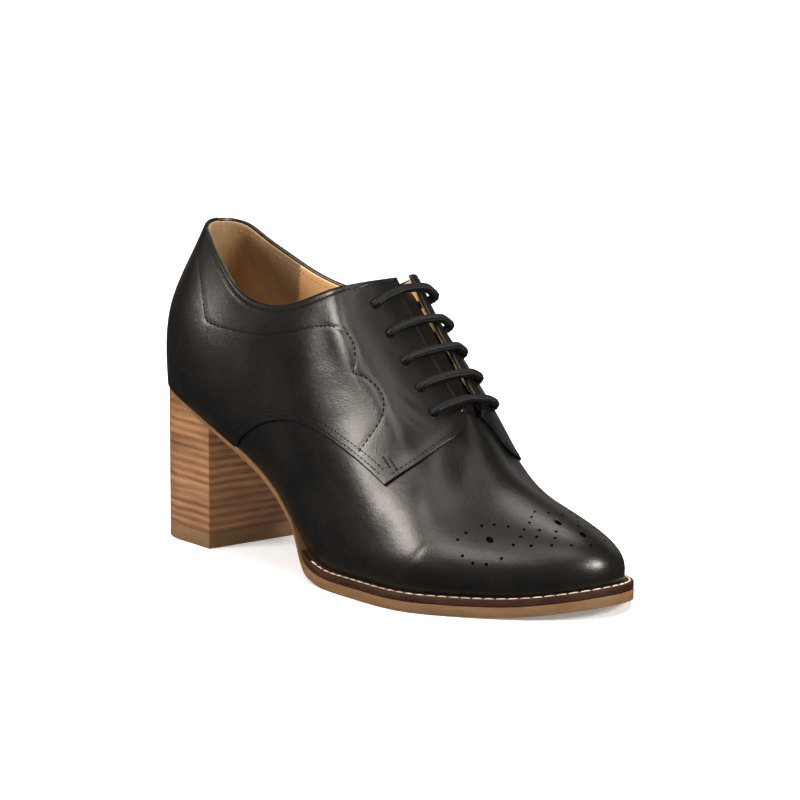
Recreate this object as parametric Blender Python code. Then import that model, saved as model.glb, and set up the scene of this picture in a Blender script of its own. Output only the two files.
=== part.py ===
"""Right-foot heeled derby shoe: hollow upper, tongue, insole, outsole, welt, stacked heel, laces.

Sizes below are in millimetres in the shoe's own layout: x runs from the back of the heel to the
toe, y to the left (the inner side of a right foot), z up from the floor. Meshes are in metres.
"""
import math

import bmesh
import bpy
import numpy as np
from mathutils import Vector

NAME = "derby_shoe"
MM = 0.001
X_MID = 119.55
Y_MID = -3.25

# Last sections. Heights are the feather edge and the top of the full section; the seven widths
# are read at these shares of the height between them.
SHARES = (0.0, 0.10, 0.25, 0.50, 0.75, 0.92, 1.0)
PROFILE_KNOTS = (0.0, 0.07, 0.19, 0.43, 0.68, 0.86, 1.0)
REAR_X = 32.0
FRONT_X = 157.5
THROAT_Y = 3.4

# Heel, turned about (REAR_X, 0): degrees from the back, z feather, z top, radius at each share.
HEEL_FAN = (
    (0.0, 59.0, 129.0, 27.7, 28.0, 27.9, 24.9, 16.2, 11.4, 9.6),
    (30.0, 58.0, 127.5, 27.2, 27.3, 27.2, 24.7, 17.2, 12.2, 10.4),
    (60.0, 56.2, 124.5, 25.9, 26.6, 27.0, 25.0, 18.8, 13.5, 11.6),
)
# Outer (lateral) side: x, z feather, z top, distance out from y = 0 at each share.
LATERAL = (
    (32.0, 54.4, 121.5, 25.0, 27.2, 28.3, 26.6, 20.4, 14.6, 12.2),
    (52.0, 48.3, 117.0, 27.8, 29.8, 30.3, 27.6, 22.3, 18.3, 16.5),
    (72.0, 40.6, 116.0, 29.7, 31.8, 32.2, 29.4, 24.3, 20.0, 17.5),
    (92.0, 29.3, 126.0, 32.2, 34.8, 34.9, 32.0, 25.8, 17.6, 11.0),
    (110.0, 14.0, 129.0, 35.6, 38.0, 38.0, 35.3, 28.4, 17.0, -2.0),
    (126.0, 7.6, 109.0, 39.0, 41.2, 41.0, 37.8, 31.6, 22.6, -3.4),
    (142.0, 7.2, 89.4, 41.8, 43.8, 43.3, 39.5, 31.7, 21.2, -3.4),
    (157.5, 7.2, 71.6, 43.6, 45.4, 44.6, 39.6, 30.6, 19.5, -3.4),
)
# Inner (medial) side, same columns.
MEDIAL = (
    (32.0, 54.6, 121.5, 25.0, 27.2, 28.3, 26.6, 20.4, 14.6, 12.2),
    (52.0, 49.0, 117.0, 26.5, 28.9, 29.6, 27.0, 22.0, 18.2, 16.5),
    (72.0, 42.5, 116.0, 25.5, 28.2, 29.2, 27.6, 23.8, 19.8, 17.5),
    (92.0, 33.3, 126.0, 24.2, 27.4, 28.8, 28.0, 24.4, 17.2, 11.0),
    (110.0, 21.8, 129.0, 24.8, 28.2, 29.8, 28.4, 23.2, 14.5, 4.0),
    (126.0, 12.4, 109.0, 27.8, 30.9, 31.8, 28.8, 22.2, 14.0, 3.4),
    (142.0, 8.0, 89.4, 31.5, 34.5, 35.0, 31.5, 24.4, 15.2, 3.4),
    (157.5, 7.2, 71.6, 35.3, 37.7, 37.4, 32.6, 23.8, 14.0, 3.4),
)
# Toe, turned about (FRONT_X, THROAT_Y): degrees from +x (minus is lateral), then as the heel.
TOE_FAN = (
    (-67.5, 7.2, 71.6, 50.5, 52.0, 50.4, 40.5, 26.0, 10.0, 0.0),
    (-45.0, 7.5, 71.6, 54.5, 55.9, 53.0, 37.0, 19.0, 6.0, 0.0),
    (-22.5, 8.6, 71.6, 64.0, 64.6, 60.0, 37.0, 16.4, 5.0, 0.0),
    (0.0, 11.6, 71.6, 75.1, 75.2, 67.6, 32.6, 13.4, 4.0, 0.0),
    (22.5, 8.7, 71.6, 64.0, 64.2, 56.6, 27.8, 12.4, 4.0, 0.0),
    (45.0, 7.5, 71.6, 47.0, 48.1, 43.8, 25.2, 12.6, 4.6, 0.0),
    (67.5, 7.2, 71.6, 36.8, 38.5, 36.4, 26.6, 15.2, 6.6, 0.0),
)
# Instep pressed flat by the laces: depth at its crest, y of the crest, half width, x where it sets in and ends.
FLAT_DEPTH = 3.0
FLAT_Y = 1.0
FLAT_HALF = 12.5
FLAT_START = (104.0, 122.0)
FLAT_END = (142.0, 178.0)
# Collar edge: x, z on the lateral side, z on the medial side.
COLLAR = (
    (16.0, 126.0, 126.0),
    (21.0, 125.0, 124.6),
    (27.0, 122.8, 121.8),
    (33.0, 118.6, 117.4),
    (43.0, 112.0, 111.4),
    (52.0, 106.2, 106.9),
    (61.0, 102.0, 103.6),
    (72.0, 100.1, 101.2),
    (84.0, 100.8, 101.4),
    (94.0, 103.0, 103.6),
    (103.0, 106.2, 106.6),
    (112.0, 109.9, 110.2),
    (118.0, 112.2, 112.4),
    (126.0, 114.6, 114.6),
)
# Throat slot: x, distance of the lateral and of the medial facing edge from THROAT_Y.
THROAT_GAP = (
    (118.0, 1.4, 6.2),
    (127.0, 1.3, 7.4),
    (157.5, 2.0, 7.0),
)
# Lower edge of the quarters over the vamp: x, z lateral, z medial.
SEAM = (
    (64.0, 43.6, 44.6),
    (68.0, 46.8, 47.4),
    (76.5, 52.0, 52.4),
    (86.0, 56.6, 56.8),
    (96.0, 59.1, 59.4),
    (108.0, 60.1, 60.4),
    (120.0, 58.7, 58.8),
    (131.5, 55.4, 55.2),
    (146.0, 49.6, 49.2),
    (157.5, 43.2, 43.2),
)
# Front edge of each flap, turned about the throat end: degrees off +x, radius.
FLAP_LATERAL = (
    (45.0, 5.0),
    (46.0, 9.5),
    (50.8, 13.9),
    (62.3, 21.1),
    (69.9, 27.0),
    (75.7, 31.7),
    (85.0, 37.6),
    (90.0, 41.0),
)
FLAP_MEDIAL = (
    (40.0, 6.4),
    (41.0, 9.0),
    (43.5, 13.5),
    (53.0, 17.5),
    (63.0, 20.5),
    (75.0, 23.6),
    (90.0, 27.6),
)

# Upper wall.
VAMP_WALL = 1.6
QUARTER_STEP = 1.1
STEP_RUN = 0.005
SEAT_GAP = 0.3
# Mesh rows of the wall as shares: feather edge to seam, seam to top edge, and down the inside.
LOWER_SHARES = (0.0, 0.06, 0.13, 0.21, 0.30, 0.42, 0.58, 0.78, 1.0)
UPPER_SHARES = (0.0, 0.28, 0.50, 0.64, 0.76, 0.88, 1.0)
INNER_SHARES = (0.0, 0.07, 0.16, 0.27, 0.41, 0.57, 0.71, 0.80, 0.87, 0.93, 1.0)

# Sole stack.
OUTSOLE_THICK = 3.8
WAIST_THICK = 2.2
WELT_THICK = 2.8
WELT_OUT = 3.6
WELT_IN = 1.8
WAIST_OUT = 0.5
WELT_LATERAL_X = 113.0
WELT_MEDIAL_X = 112.0
INSOLE_IN = 2.4
INSOLE_RISE = 2.2
RIB_STEPS = 5

# Heel.
BREAST_LATERAL_X = 46.0
BREAST_MEDIAL_X = 50.0
TOP_LIFT_THICK = 5.6
LAYER_GAP = 0.3

# Lacing: pairs of eyelets from the top, x lateral and x medial.
EYELET_X = (
    (126.0, 122.6),
    (134.2, 131.5),
    (142.5, 140.5),
    (150.6, 148.8),
    (158.2, 156.8),
)
EYELET_LATERAL_Y = -14.0
EYELET_MEDIAL_Y = 16.5
EYELET_RADIUS = 2.0
LACE_RADIUS = 1.3
LACE_CLEAR = 0.4
LACE_BEND = 1.9
# Places of each bar across the shoe: y, extra height over the facings.
BAR_PLACES = (
    (-9.0, 0.0),
    (1.6, 0.2),
    (12.0, 0.3),
)
BAR_LOOP = 1.2

# Tongue: x, half width, depth of its outer face under the base surface, rise of its middle in the slot.
TONGUE = (
    (122.5, 15.0, 5.7, 2.0),
    (129.0, 16.0, 5.6, 2.5),
    (136.0, 16.5, 5.5, 2.6),
    (143.0, 16.5, 5.5, 2.6),
    (150.0, 16.0, 5.4, 2.5),
    (157.0, 15.5, 5.2, 1.8),
    (163.0, 14.0, 4.6, 0.5),
    (168.0, 12.0, 2.8, 0.0),
    (173.0, 10.0, 2.1, 0.0),
)
TONGUE_THICK = 1.4
TONGUE_STEPS = 12
TONGUE_MIDDLE = 0.14
TONGUE_CROWN = 0.62


def column(table, index):
    """One named column of a table as an array."""
    return np.array([row[index] for row in table])


def spline_basis(knots, where, period=0.0):
    """Weights that carry values at the knots to a cubic spline at the given places."""
    knots = np.asarray(knots, float)
    where = np.atleast_1d(np.asarray(where, float))
    count = len(knots)
    ends = np.append(knots, knots[0] + period) if period else knots
    step = np.diff(ends)
    left = np.zeros((count, count))
    right = np.zeros((count, count))
    for i in range(count):
        if not period and i in (0, count - 1):
            left[i, i] = 1.0
            continue
        before, after = step[i - 1], step[i]
        nxt = (i + 1) % count
        left[i, i - 1] += before
        left[i, i] += 2.0 * (before + after)
        left[i, nxt] += after
        right[i, nxt] += 6.0 / after
        right[i, i] -= 6.0 / after + 6.0 / before
        right[i, i - 1] += 6.0 / before
    bend = np.linalg.solve(left, right)
    if period:
        where = knots[0] + np.mod(where - knots[0], period)
    cell = np.clip(np.searchsorted(ends, where, side="right") - 1, 0, len(step) - 1)
    width = step[cell]
    a = (ends[cell + 1] - where) / width
    b = 1.0 - a
    eye = np.eye(count)
    nxt = (cell + 1) % count
    scale = (width ** 2 / 6.0)[:, None]
    curve = (a ** 3 - a)[:, None] * bend[cell] + (b ** 3 - b)[:, None] * bend[nxt]
    return a[:, None] * eye[cell] + b[:, None] * eye[nxt] + curve * scale


def fan_points(center, degrees, row):
    """Section points of one fan row, in the vertical plane at the given angle."""
    turn = math.radians(degrees)
    low, high = row[1], row[2]
    return [(center[0] + r * math.cos(turn), center[1] + r * math.sin(turn), low + s * (high - low))
            for s, r in zip(SHARES, row[3:])]


def side_points(row, sign):
    """Section points of one side row, in the plane across the shoe at its x."""
    low, high = row[1], row[2]
    return [(row[0], sign * out, low + s * (high - low)) for s, out in zip(SHARES, row[3:])]


def last_sections():
    """All sections in order round the shoe: back, lateral, toe, medial, with a label each."""
    rear = (REAR_X, 0.0)
    front = (FRONT_X, THROAT_Y)
    rows = [("heel", row[0], fan_points(rear, 180.0 + row[0], row)) for row in HEEL_FAN]
    rows += [("lateral", row[0], side_points(row, -1.0)) for row in LATERAL]
    rows += [("toe", row[0], fan_points(front, row[0], row)) for row in TOE_FAN]
    rows += [("medial", row[0], side_points(row, 1.0)) for row in reversed(MEDIAL)]
    rows += [("heel", -row[0], fan_points(rear, 180.0 - row[0], row)) for row in reversed(HEEL_FAN[1:])]
    return rows


SECTIONS = last_sections()
NET = np.array([row[2] for row in SECTIONS])
_girth = np.linalg.norm(np.roll(NET[:, 2], -1, axis=0) - NET[:, 2], axis=1)
STATION_U = np.concatenate(([0.0], np.cumsum(_girth)[:-1]))
PERIOD = float(np.sum(_girth))
PLACES = {}
for (_kind, _value, _points), _u in zip(SECTIONS, STATION_U):
    PLACES.setdefault(_kind, []).append((_value, float(_u)))
PLACES["heel"] = sorted((v, u - PERIOD if v < 0 else u) for v, u in PLACES["heel"])
_lateral_end = PLACES["lateral"][-1][1]
_medial_end = PLACES["medial"][0][1]
PLACES["toe"] = [(-90.0, _lateral_end)] + PLACES["toe"] + [(90.0, _medial_end)]
PLACES["heel"] = ([(-90.0, PLACES["medial"][-1][1] - PERIOD)] + PLACES["heel"]
                  + [(90.0, PLACES["lateral"][0][1])])
PLACES["medial"] = PLACES["medial"][::-1]


def around(kind, value):
    """Position round the shoe of a fan angle or of an x on one side."""
    table = PLACES[kind]
    return float(np.interp(value, [row[0] for row in table], [row[1] for row in table]))


def smooth_step(value, low, high):
    """Zero below low, one above high, smooth between."""
    t = np.clip((value - low) / (high - low), 0.0, 1.0)
    return t * t * (3.0 - 2.0 * t)


def pressed(x, y):
    """Depth by which the laces press the crest of the instep flat."""
    along = smooth_step(x, *FLAT_START) * (1.0 - smooth_step(x, *FLAT_END))
    return FLAT_DEPTH * along * np.maximum(1.0 - ((y - FLAT_Y) / FLAT_HALF) ** 2, 0.0) ** 2


def last(u, v):
    """Points of the base surface: u round the shoe, v from the feather edge to the top."""
    u = np.atleast_1d(np.asarray(u, float))
    v = np.atleast_1d(np.asarray(v, float))
    rows = spline_basis(STATION_U, u, PERIOD)
    cols = spline_basis(PROFILE_KNOTS, v)
    points = np.einsum("is,ik,skc->ic", rows, cols, NET)
    points[:, 2] -= pressed(points[:, 0], points[:, 1])
    return points


def outward(u, v):
    """Unit normals of the base surface, pointing out of the shoe."""
    u = np.atleast_1d(np.asarray(u, float))
    v = np.atleast_1d(np.asarray(v, float))
    along = last(u + 0.25, v) - last(u - 0.25, v)
    up = last(u, np.minimum(v + 0.004, 1.0)) - last(u, np.maximum(v - 0.004, 0.0))
    normal = np.cross(along, up)
    return normal / np.linalg.norm(normal, axis=1)[:, None]


def raised(u, v, height):
    """Base surface moved out along its normal by a height."""
    return last(u, v) + outward(u, v) * np.asarray(height, float).reshape(-1, 1)


FINE_V = np.linspace(0.0, 1.0, 241)


def first_crossing(values):
    """Share of v at which a row of values first turns positive, or one."""
    over = np.nonzero(values > 0.0)[0]
    if len(over) == 0:
        return 1.0
    k = over[0]
    if k == 0:
        return 0.0
    part = values[k - 1] / (values[k - 1] - values[k])
    return float(FINE_V[k - 1] + part * (FINE_V[k] - FINE_V[k - 1]))


def edges_at(u):
    """Trim of one column: v of the quarter seam and of the top edge, and what each band is."""
    line = last(np.full(len(FINE_V), u), FINE_V)
    x, y, z = line[:, 0], line[:, 1], line[:, 2]
    side = 1 if y[60] < 0.0 else 2
    collar = np.interp(x, column(COLLAR, 0), column(COLLAR, side), right=500.0)
    top = first_crossing(z - collar)
    ahead = x[0] > FRONT_X + 0.01
    if ahead:
        reach = np.hypot(x - FRONT_X, y - THROAT_Y)
        swing = math.degrees(math.atan2(y[0] - THROAT_Y, x[0] - FRONT_X))
        gap = np.interp(swing, (-90.0, 90.0), THROAT_GAP[-1][1:])
    else:
        reach = np.where(x > 100.0, np.abs(y - THROAT_Y), 99.0)
        gap = np.interp(x, column(THROAT_GAP, 0), column(THROAT_GAP, side))
    top = min(top, first_crossing(gap - reach))
    if ahead:
        turn = abs(swing)
        flap = FLAP_LATERAL if side == 1 else FLAP_MEDIAL
        if turn < flap[0][0]:
            return top, top, "vamp"
        front = np.interp(turn, column(flap, 0), column(flap, 1))
        return first_crossing(front - reach), top, "both"
    if x[0] < SEAM[0][0]:
        return 0.0, top, "quarter"
    seam = np.interp(x, column(SEAM, 0), column(SEAM, side))
    return first_crossing(z - seam), top, "both"


def locate(first, second, axes, guess_u, guess_v):
    """Surface place whose two named coordinates take the given values, by Newton steps."""
    u, v = float(guess_u), float(guess_v)
    goal = np.array([first, second])
    for _ in range(24):
        here = last(u, v)[0][list(axes)]
        du = (last(u + 0.2, v)[0] - last(u - 0.2, v)[0])[list(axes)] / 0.4
        dv = (last(u, min(v + 0.002, 1.0))[0] - last(u, v - 0.002)[0])[list(axes)]
        dv = dv / (min(v + 0.002, 1.0) - v + 0.002)
        move = np.linalg.solve(np.stack([du, dv], 1), goal - here)
        move = np.clip(move, (-6.0, -0.06), (6.0, 0.06))
        u, v = u + move[0], min(max(v + move[1], 0.01), 0.999)
    return u, v


def height_at(x, y):
    """Base surface point and normal over a plan position near the instep or the vamp."""
    if x <= FRONT_X:
        kind = "lateral" if y < THROAT_Y else "medial"
        u = around(kind, x)
    else:
        u = around("toe", math.degrees(math.atan2(y - THROAT_Y, x - FRONT_X)))
    line = last(np.full(len(FINE_V), u), FINE_V)
    reach = np.hypot(np.maximum(x - FRONT_X, 0.0), y - THROAT_Y)
    far = np.hypot(np.maximum(line[:, 0] - FRONT_X, 0.0), line[:, 1] - THROAT_Y)
    high = FINE_V > 0.35
    v = float(np.interp(-reach, -far[high], FINE_V[high]))
    u, v = locate(x, y, (0, 1), u, min(v, 0.985))
    return last(u, v)[0], outward(u, v)[0]


def mesh_object(name, points, faces, material, collection):
    """Closed mesh from points in millimetres, turned outward, with one material."""
    mesh = bpy.data.meshes.new(name)
    place = (np.asarray(points, float) - np.array([X_MID, Y_MID, 0.0])) * MM
    mesh.from_pydata([tuple(p) for p in place], [], faces)
    work = bmesh.new()
    work.from_mesh(mesh)
    bmesh.ops.recalc_face_normals(work, faces=work.faces)
    bmesh.ops.triangulate(work, faces=work.faces)
    work.to_mesh(mesh)
    work.free()
    mesh.materials.append(material)
    item = bpy.data.objects.new(name, mesh)
    collection.objects.link(item)
    return item


def principled(name, color, roughness):
    """Plain Principled material."""
    material = bpy.data.materials.new(name)
    material.use_nodes = True
    shader = material.node_tree.nodes["Principled BSDF"]
    shader.inputs["Base Color"].default_value = (*color, 1.0)
    shader.inputs["Roughness"].default_value = roughness
    return material


def fresh_collection(name):
    """New collection linked to the scene."""
    collection = bpy.data.collections.new(name)
    bpy.context.scene.collection.children.link(collection)
    return collection


def column_places():
    """Positions round the shoe of the upper's columns, closer together at corners."""
    places = [around("heel", a) for a in np.linspace(-78.0, 78.0, 14)]
    side = [32.0, 40.0, 48.0, 56.0, 60.5, 63.6, 64.6, 68.0, 73.0, 79.0, 86.0, 93.0, 100.0, 106.0, 110.5,
            114.0, 116.5, 118.0, 119.0, 120.0, 121.5, 125.0, 130.0, 135.5, 141.0, 146.0, 150.0, 153.5,
            156.0, 157.3]
    outer_toe = [-88.5, -84.0, -79.0, -74.0, -69.0, -64.0, -59.0, -54.5, -51.0, -48.0, -46.2, -44.8,
                 -39.0, -33.0, -27.0, -21.5, -16.5, -12.0, -8.0, -4.0]
    inner_toe = [0.0, 4.0, 8.0, 12.0, 16.5, 21.5, 27.0, 33.0, 38.5, 40.3, 41.5, 43.5, 47.5, 52.0, 57.0,
                 62.0, 67.0, 72.0, 77.0, 82.5, 88.0]
    places += [around("lateral", x) for x in side]
    places += [around("toe", a) for a in outer_toe + inner_toe]
    places += [around("medial", x) for x in reversed(side)]
    return places


def build_upper(material, collection):
    """Hollow upper: vamp at base level, quarters one step higher, inner face one wall in."""
    outer, inner = [], []
    for u in column_places():
        seam, top, kind = edges_at(u)
        low = 0.0 if kind != "quarter" else QUARTER_STEP
        high = QUARTER_STEP if kind != "vamp" else 0.0
        split = min(max(seam, 0.05), top - 0.035)
        start = min(split + STEP_RUN, top)
        lower_v = split * np.array(LOWER_SHARES)
        upper_v = start + (top - start) * np.array(UPPER_SHARES)
        v = np.concatenate((lower_v, upper_v))
        lift = np.concatenate((np.full(len(lower_v), low), np.full(len(upper_v), high)))
        skin = raised(np.full(len(v), u), v, lift)
        v_in = top * np.array(INNER_SHARES)
        flesh = raised(np.full(len(v_in), u), v_in, np.full(len(v_in), -VAMP_WALL))
        floor = last(u, 0.0)[0, 2]
        skin[0, 2] = floor
        flesh[0, 2] = floor
        outer.append(skin)
        inner.append(flesh[::-1])
    rings = np.array([np.concatenate((a, b)) for a, b in zip(outer, inner)])
    count, rows = rings.shape[:2]
    points = rings.reshape(-1, 3)
    faces = []
    for i in range(count):
        j = (i + 1) % count
        for k in range(rows):
            m = (k + 1) % rows
            faces.append((i * rows + k, j * rows + k, j * rows + m, i * rows + m))
    return mesh_object("upper", points, faces, material, collection)


def eyelets():
    """Base points and normals of the eyelets, lateral and medial, top pair first."""
    pairs = []
    for x_lateral, x_medial in EYELET_X:
        pairs.append((height_at(x_lateral, EYELET_LATERAL_Y), height_at(x_medial, EYELET_MEDIAL_Y)))
    return pairs


def punch_eyelets(upper, collection):
    """Cut the eyelet holes through both facings."""
    for number, pair in enumerate(eyelets()):
        for side, (point, normal) in zip(("lateral", "medial"), pair):
            bpy.ops.mesh.primitive_cylinder_add(vertices=12, radius=EYELET_RADIUS * MM, depth=9.0 * MM)
            punch = bpy.context.object
            punch.name = "eyelet_punch_%s_%d" % (side, number + 1)
            turn = normal_rotation(normal)
            punch.rotation_mode = "QUATERNION"
            punch.rotation_quaternion = turn
            punch.location = [(a - b) * MM for a, b in zip(point, (X_MID, Y_MID, 0.0))]
            for home in list(punch.users_collection):
                home.objects.unlink(punch)
            collection.objects.link(punch)
            punch.hide_render = True
            punch.display_type = "WIRE"
            cut = upper.modifiers.new(punch.name, "BOOLEAN")
            cut.operation = "DIFFERENCE"
            cut.solver = "EXACT"
            cut.object = punch


def normal_rotation(normal):
    """Rotation that turns +z to a direction."""
    return Vector((0.0, 0.0, 1.0)).rotation_difference(Vector(normal))


def outline(kind_pairs, margin_lateral, margin_medial):
    """Lateral and medial edge points of a plate, a margin out from the feather edge."""
    pairs = []
    for (lat, med), out_l, out_m in zip(kind_pairs, margin_lateral, margin_medial):
        ends = []
        for u, out in ((lat, out_l), (med, out_m)):
            here = last(u, 0.0)[0]
            run = last(u + 0.3, 0.0)[0] - last(u - 0.3, 0.0)[0]
            away = np.array([run[1], -run[0], 0.0])
            ends.append(here + away / np.linalg.norm(away) * out)
        pairs.append(ends)
    return pairs


def rib_places(heel_angles, xs, toe_angles):
    """Paired positions round the shoe, from the back of the heel to the tip of the toe."""
    pairs = [(around("heel", a), around("heel", -a)) for a in heel_angles]
    pairs += [(around("lateral", x), around("medial", x)) for x in xs]
    pairs += [(around("toe", -a), around("toe", a)) for a in toe_angles]
    return pairs


def plate(name, ribs, tops, bottoms, material, collection, steps=RIB_STEPS):
    """Closed plate lofted through ribs; tops and bottoms hold z at each rib's two ends."""
    points, rows = [], []
    for (left, right), top, low in zip(ribs, tops, bottoms):
        single = np.linalg.norm(left[:2] - right[:2]) < 0.05
        shares = (0.5,) if single else np.linspace(0.0, 1.0, steps + 1)
        row = []
        for level in (top, low):
            start = len(points)
            for s in shares:
                flat = left + (right - left) * s
                points.append((flat[0], flat[1], level[0] + (level[1] - level[0]) * s))
            row.append(list(range(start, len(points))))
        rows.append(row)
    faces = []
    for near, far in zip(rows[:-1], rows[1:]):
        for level in (0, 1):
            a, b = near[level], far[level]
            if len(a) == 1:
                faces += [(a[0], b[i], b[i + 1]) for i in range(len(b) - 1)]
            elif len(b) == 1:
                faces += [(a[i], a[i + 1], b[0]) for i in range(len(a) - 1)]
            else:
                faces += [(a[i], a[i + 1], b[i + 1], b[i]) for i in range(len(a) - 1)]
        for end in (0, -1):
            faces.append((near[0][end], far[0][end], far[1][end], near[1][end]))
    for row in (rows[0], rows[-1]):
        if len(row[0]) > 1:
            faces += [(row[0][i], row[0][i + 1], row[1][i + 1], row[1][i]) for i in range(len(row[0]) - 1)]
    return mesh_object(name, points, faces, material, collection)


HEEL_ANGLES = (0.0, 14.0, 28.0, 42.0, 56.0, 72.0)
SIDE_XS = (34.0, 40.0, 47.0, 54.0, 61.0, 68.0, 75.0, 82.0, 89.0, 96.0, 102.0, 108.0, 113.0, 118.0, 124.0,
           131.0, 139.0, 148.0, 157.0)
TOE_ANGLES = (83.0, 75.0, 66.0, 57.0, 48.0, 40.0, 33.0, 27.0, 21.5, 16.5, 12.0, 8.0, 4.0, 0.0)


def fore_share(pairs):
    """How far each rib belongs to the forepart, on its lateral and medial end."""
    shares = []
    for lat, med in pairs:
        a = smooth_step(last(lat, 0.0)[0, 0], WELT_LATERAL_X - 14.0, WELT_LATERAL_X + 5.0)
        b = smooth_step(last(med, 0.0)[0, 0], WELT_MEDIAL_X - 14.0, WELT_MEDIAL_X + 5.0)
        shares.append((float(a), float(b)))
    return shares


def feather_heights(pairs):
    """Feather edge z at both ends of each rib."""
    return [(float(last(lat, 0.0)[0, 2]), float(last(med, 0.0)[0, 2])) for lat, med in pairs]


def outsole_levels(pairs):
    """Top and bottom z of the outsole at both ends of each rib."""
    tops, lows = [], []
    for z, fore in zip(feather_heights(pairs), fore_share(pairs)):
        top = [a - SEAT_GAP - f * (WELT_THICK + LAYER_GAP) for a, f in zip(z, fore)]
        low = [a - WAIST_THICK - f * (OUTSOLE_THICK - WAIST_THICK) for a, f in zip(top, fore)]
        tops.append(top)
        lows.append([0.0 if b < 0.12 else b for b in low])
    return tops, lows


def build_outsole(material, collection):
    """Outsole: thick flat forepart with toe spring, thin rising waist, heel seat."""
    pairs = rib_places(HEEL_ANGLES, SIDE_XS, TOE_ANGLES)
    fore = fore_share(pairs)
    out_l = [WAIST_OUT + f[0] * (WELT_OUT - WAIST_OUT) for f in fore]
    out_m = [WAIST_OUT + f[1] * (WELT_OUT - WAIST_OUT) for f in fore]
    tops, lows = outsole_levels(pairs)
    return plate("outsole", outline(pairs, out_l, out_m), tops, lows, material, collection)


def build_insole(material, collection):
    """Insole: fills the welt ring in the forepart and lies on the outsole behind it."""
    pairs = rib_places(HEEL_ANGLES, SIDE_XS, TOE_ANGLES)
    inset = [-INSOLE_IN] * len(pairs)
    tops = [[a + INSOLE_RISE for a in z] for z in feather_heights(pairs)]
    lows = [[a + LAYER_GAP for a in top] for top in outsole_levels(pairs)[0]]
    return plate("insole", outline(pairs, inset, inset), tops, lows, material, collection)


def heel_places():
    """Paired positions of the heel's ribs, the last along the slanted breast."""
    pairs = rib_places(HEEL_ANGLES, (34.0, 40.0), ())
    return pairs + [(around("lateral", BREAST_LATERAL_X), around("medial", BREAST_MEDIAL_X))]


def build_heel(material, collection):
    """Stacked heel block under the heel seat, with a flat breast."""
    pairs = heel_places()
    edge = [WAIST_OUT] * len(pairs)
    lows = outsole_levels(pairs)[1]
    tops = [[a - LAYER_GAP for a in low] for low in lows]
    base = [[TOP_LIFT_THICK + LAYER_GAP] * 2 for _ in pairs]
    return plate("heel", outline(pairs, edge, edge), tops, base, material, collection)


def build_top_lift(material, collection):
    """Top piece of the heel, the layer that stands on the floor."""
    pairs = heel_places()
    edge = [WAIST_OUT] * len(pairs)
    tops = [[TOP_LIFT_THICK] * 2 for _ in pairs]
    base = [[0.0] * 2 for _ in pairs]
    return plate("heel_top_lift", outline(pairs, edge, edge), tops, base, material, collection)


def build_welt(material, collection):
    """Welt strip round the forepart, from the lateral waist past the toe to the medial waist."""
    places = [around("lateral", x) for x in SIDE_XS if x >= WELT_LATERAL_X]
    places += [around("toe", -a) for a in TOE_ANGLES]
    places += [around("toe", a) for a in reversed(TOE_ANGLES[:-1])]
    places += [around("medial", x) for x in reversed(SIDE_XS) if x >= WELT_MEDIAL_X]
    points, faces = [], []
    for u in places:
        here = last(u, 0.0)[0]
        run = last(u + 0.3, 0.0)[0] - last(u - 0.3, 0.0)[0]
        away = np.array([run[1], -run[0], 0.0]) / np.hypot(run[0], run[1])
        limit = WELT_LATERAL_X if here[1] < 0.0 else WELT_MEDIAL_X
        fore = float(smooth_step(here[0], limit - 14.0, limit + 5.0))
        edge = WAIST_OUT + fore * (WELT_OUT - WAIST_OUT)
        top = here[2] - SEAT_GAP
        low = here[2] - SEAT_GAP - fore * (WELT_THICK + LAYER_GAP) + LAYER_GAP
        for out, z in ((edge, top), (edge, low), (-WELT_IN, low), (-WELT_IN, top)):
            spot = here + away * out
            points.append((spot[0], spot[1], z))
    for i in range(len(places) - 1):
        for k in range(4):
            m = (k + 1) % 4
            faces.append((i * 4 + k, i * 4 + m, i * 4 + 4 + m, i * 4 + 4 + k))
    last_ring = (len(places) - 1) * 4
    faces.append((0, 1, 2, 3))
    faces.append(tuple(last_ring + k for k in range(4)))
    return mesh_object("welt", points, faces, material, collection)


def build_tongue(material, collection):
    """Tongue: a strip under both facings, running down under the vamp."""
    top, low = [], []
    for x, half, depth, rise in TONGUE:
        for s in np.linspace(-1.0, 1.0, TONGUE_STEPS + 1):
            point, normal = height_at(x, THROAT_Y + half * s + 1e-3)
            crown = max(1.0 - ((s - TONGUE_MIDDLE) / TONGUE_CROWN) ** 2, 0.0) ** 2
            top.append(point - normal * (depth - rise * crown))
            low.append(point - normal * (depth - rise * crown + TONGUE_THICK))
    width = TONGUE_STEPS + 1
    points = top + low
    shift = len(top)
    faces = []
    for i in range(len(TONGUE) - 1):
        for k in range(TONGUE_STEPS):
            a = i * width + k
            faces.append((a, a + 1, a + 1 + width, a + width))
            faces.append((shift + a, shift + a + width, shift + a + 1 + width, shift + a + 1))
        for k in (0, TONGUE_STEPS):
            a = i * width + k
            faces.append((a, a + width, shift + a + width, shift + a))
    for i in (0, len(TONGUE) - 1):
        for k in range(TONGUE_STEPS):
            a = i * width + k
            faces.append((a, a + 1, shift + a + 1, shift + a))
    return mesh_object("tongue", points, faces, material, collection)


def rounded_path(corners, radius, steps=3):
    """Polyline with its corners replaced by short arcs."""
    path = [corners[0]]
    for before, here, after in zip(corners[:-2], corners[1:-1], corners[2:]):
        back = before - here
        ahead = after - here
        reach = min(radius, 0.45 * np.linalg.norm(back), 0.45 * np.linalg.norm(ahead))
        start = here + back / np.linalg.norm(back) * reach
        end = here + ahead / np.linalg.norm(ahead) * reach
        for t in np.linspace(0.0, 1.0, steps + 1):
            path.append((1 - t) ** 2 * start + 2 * t * (1 - t) * here + t * t * end)
    path.append(corners[-1])
    return path


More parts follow.
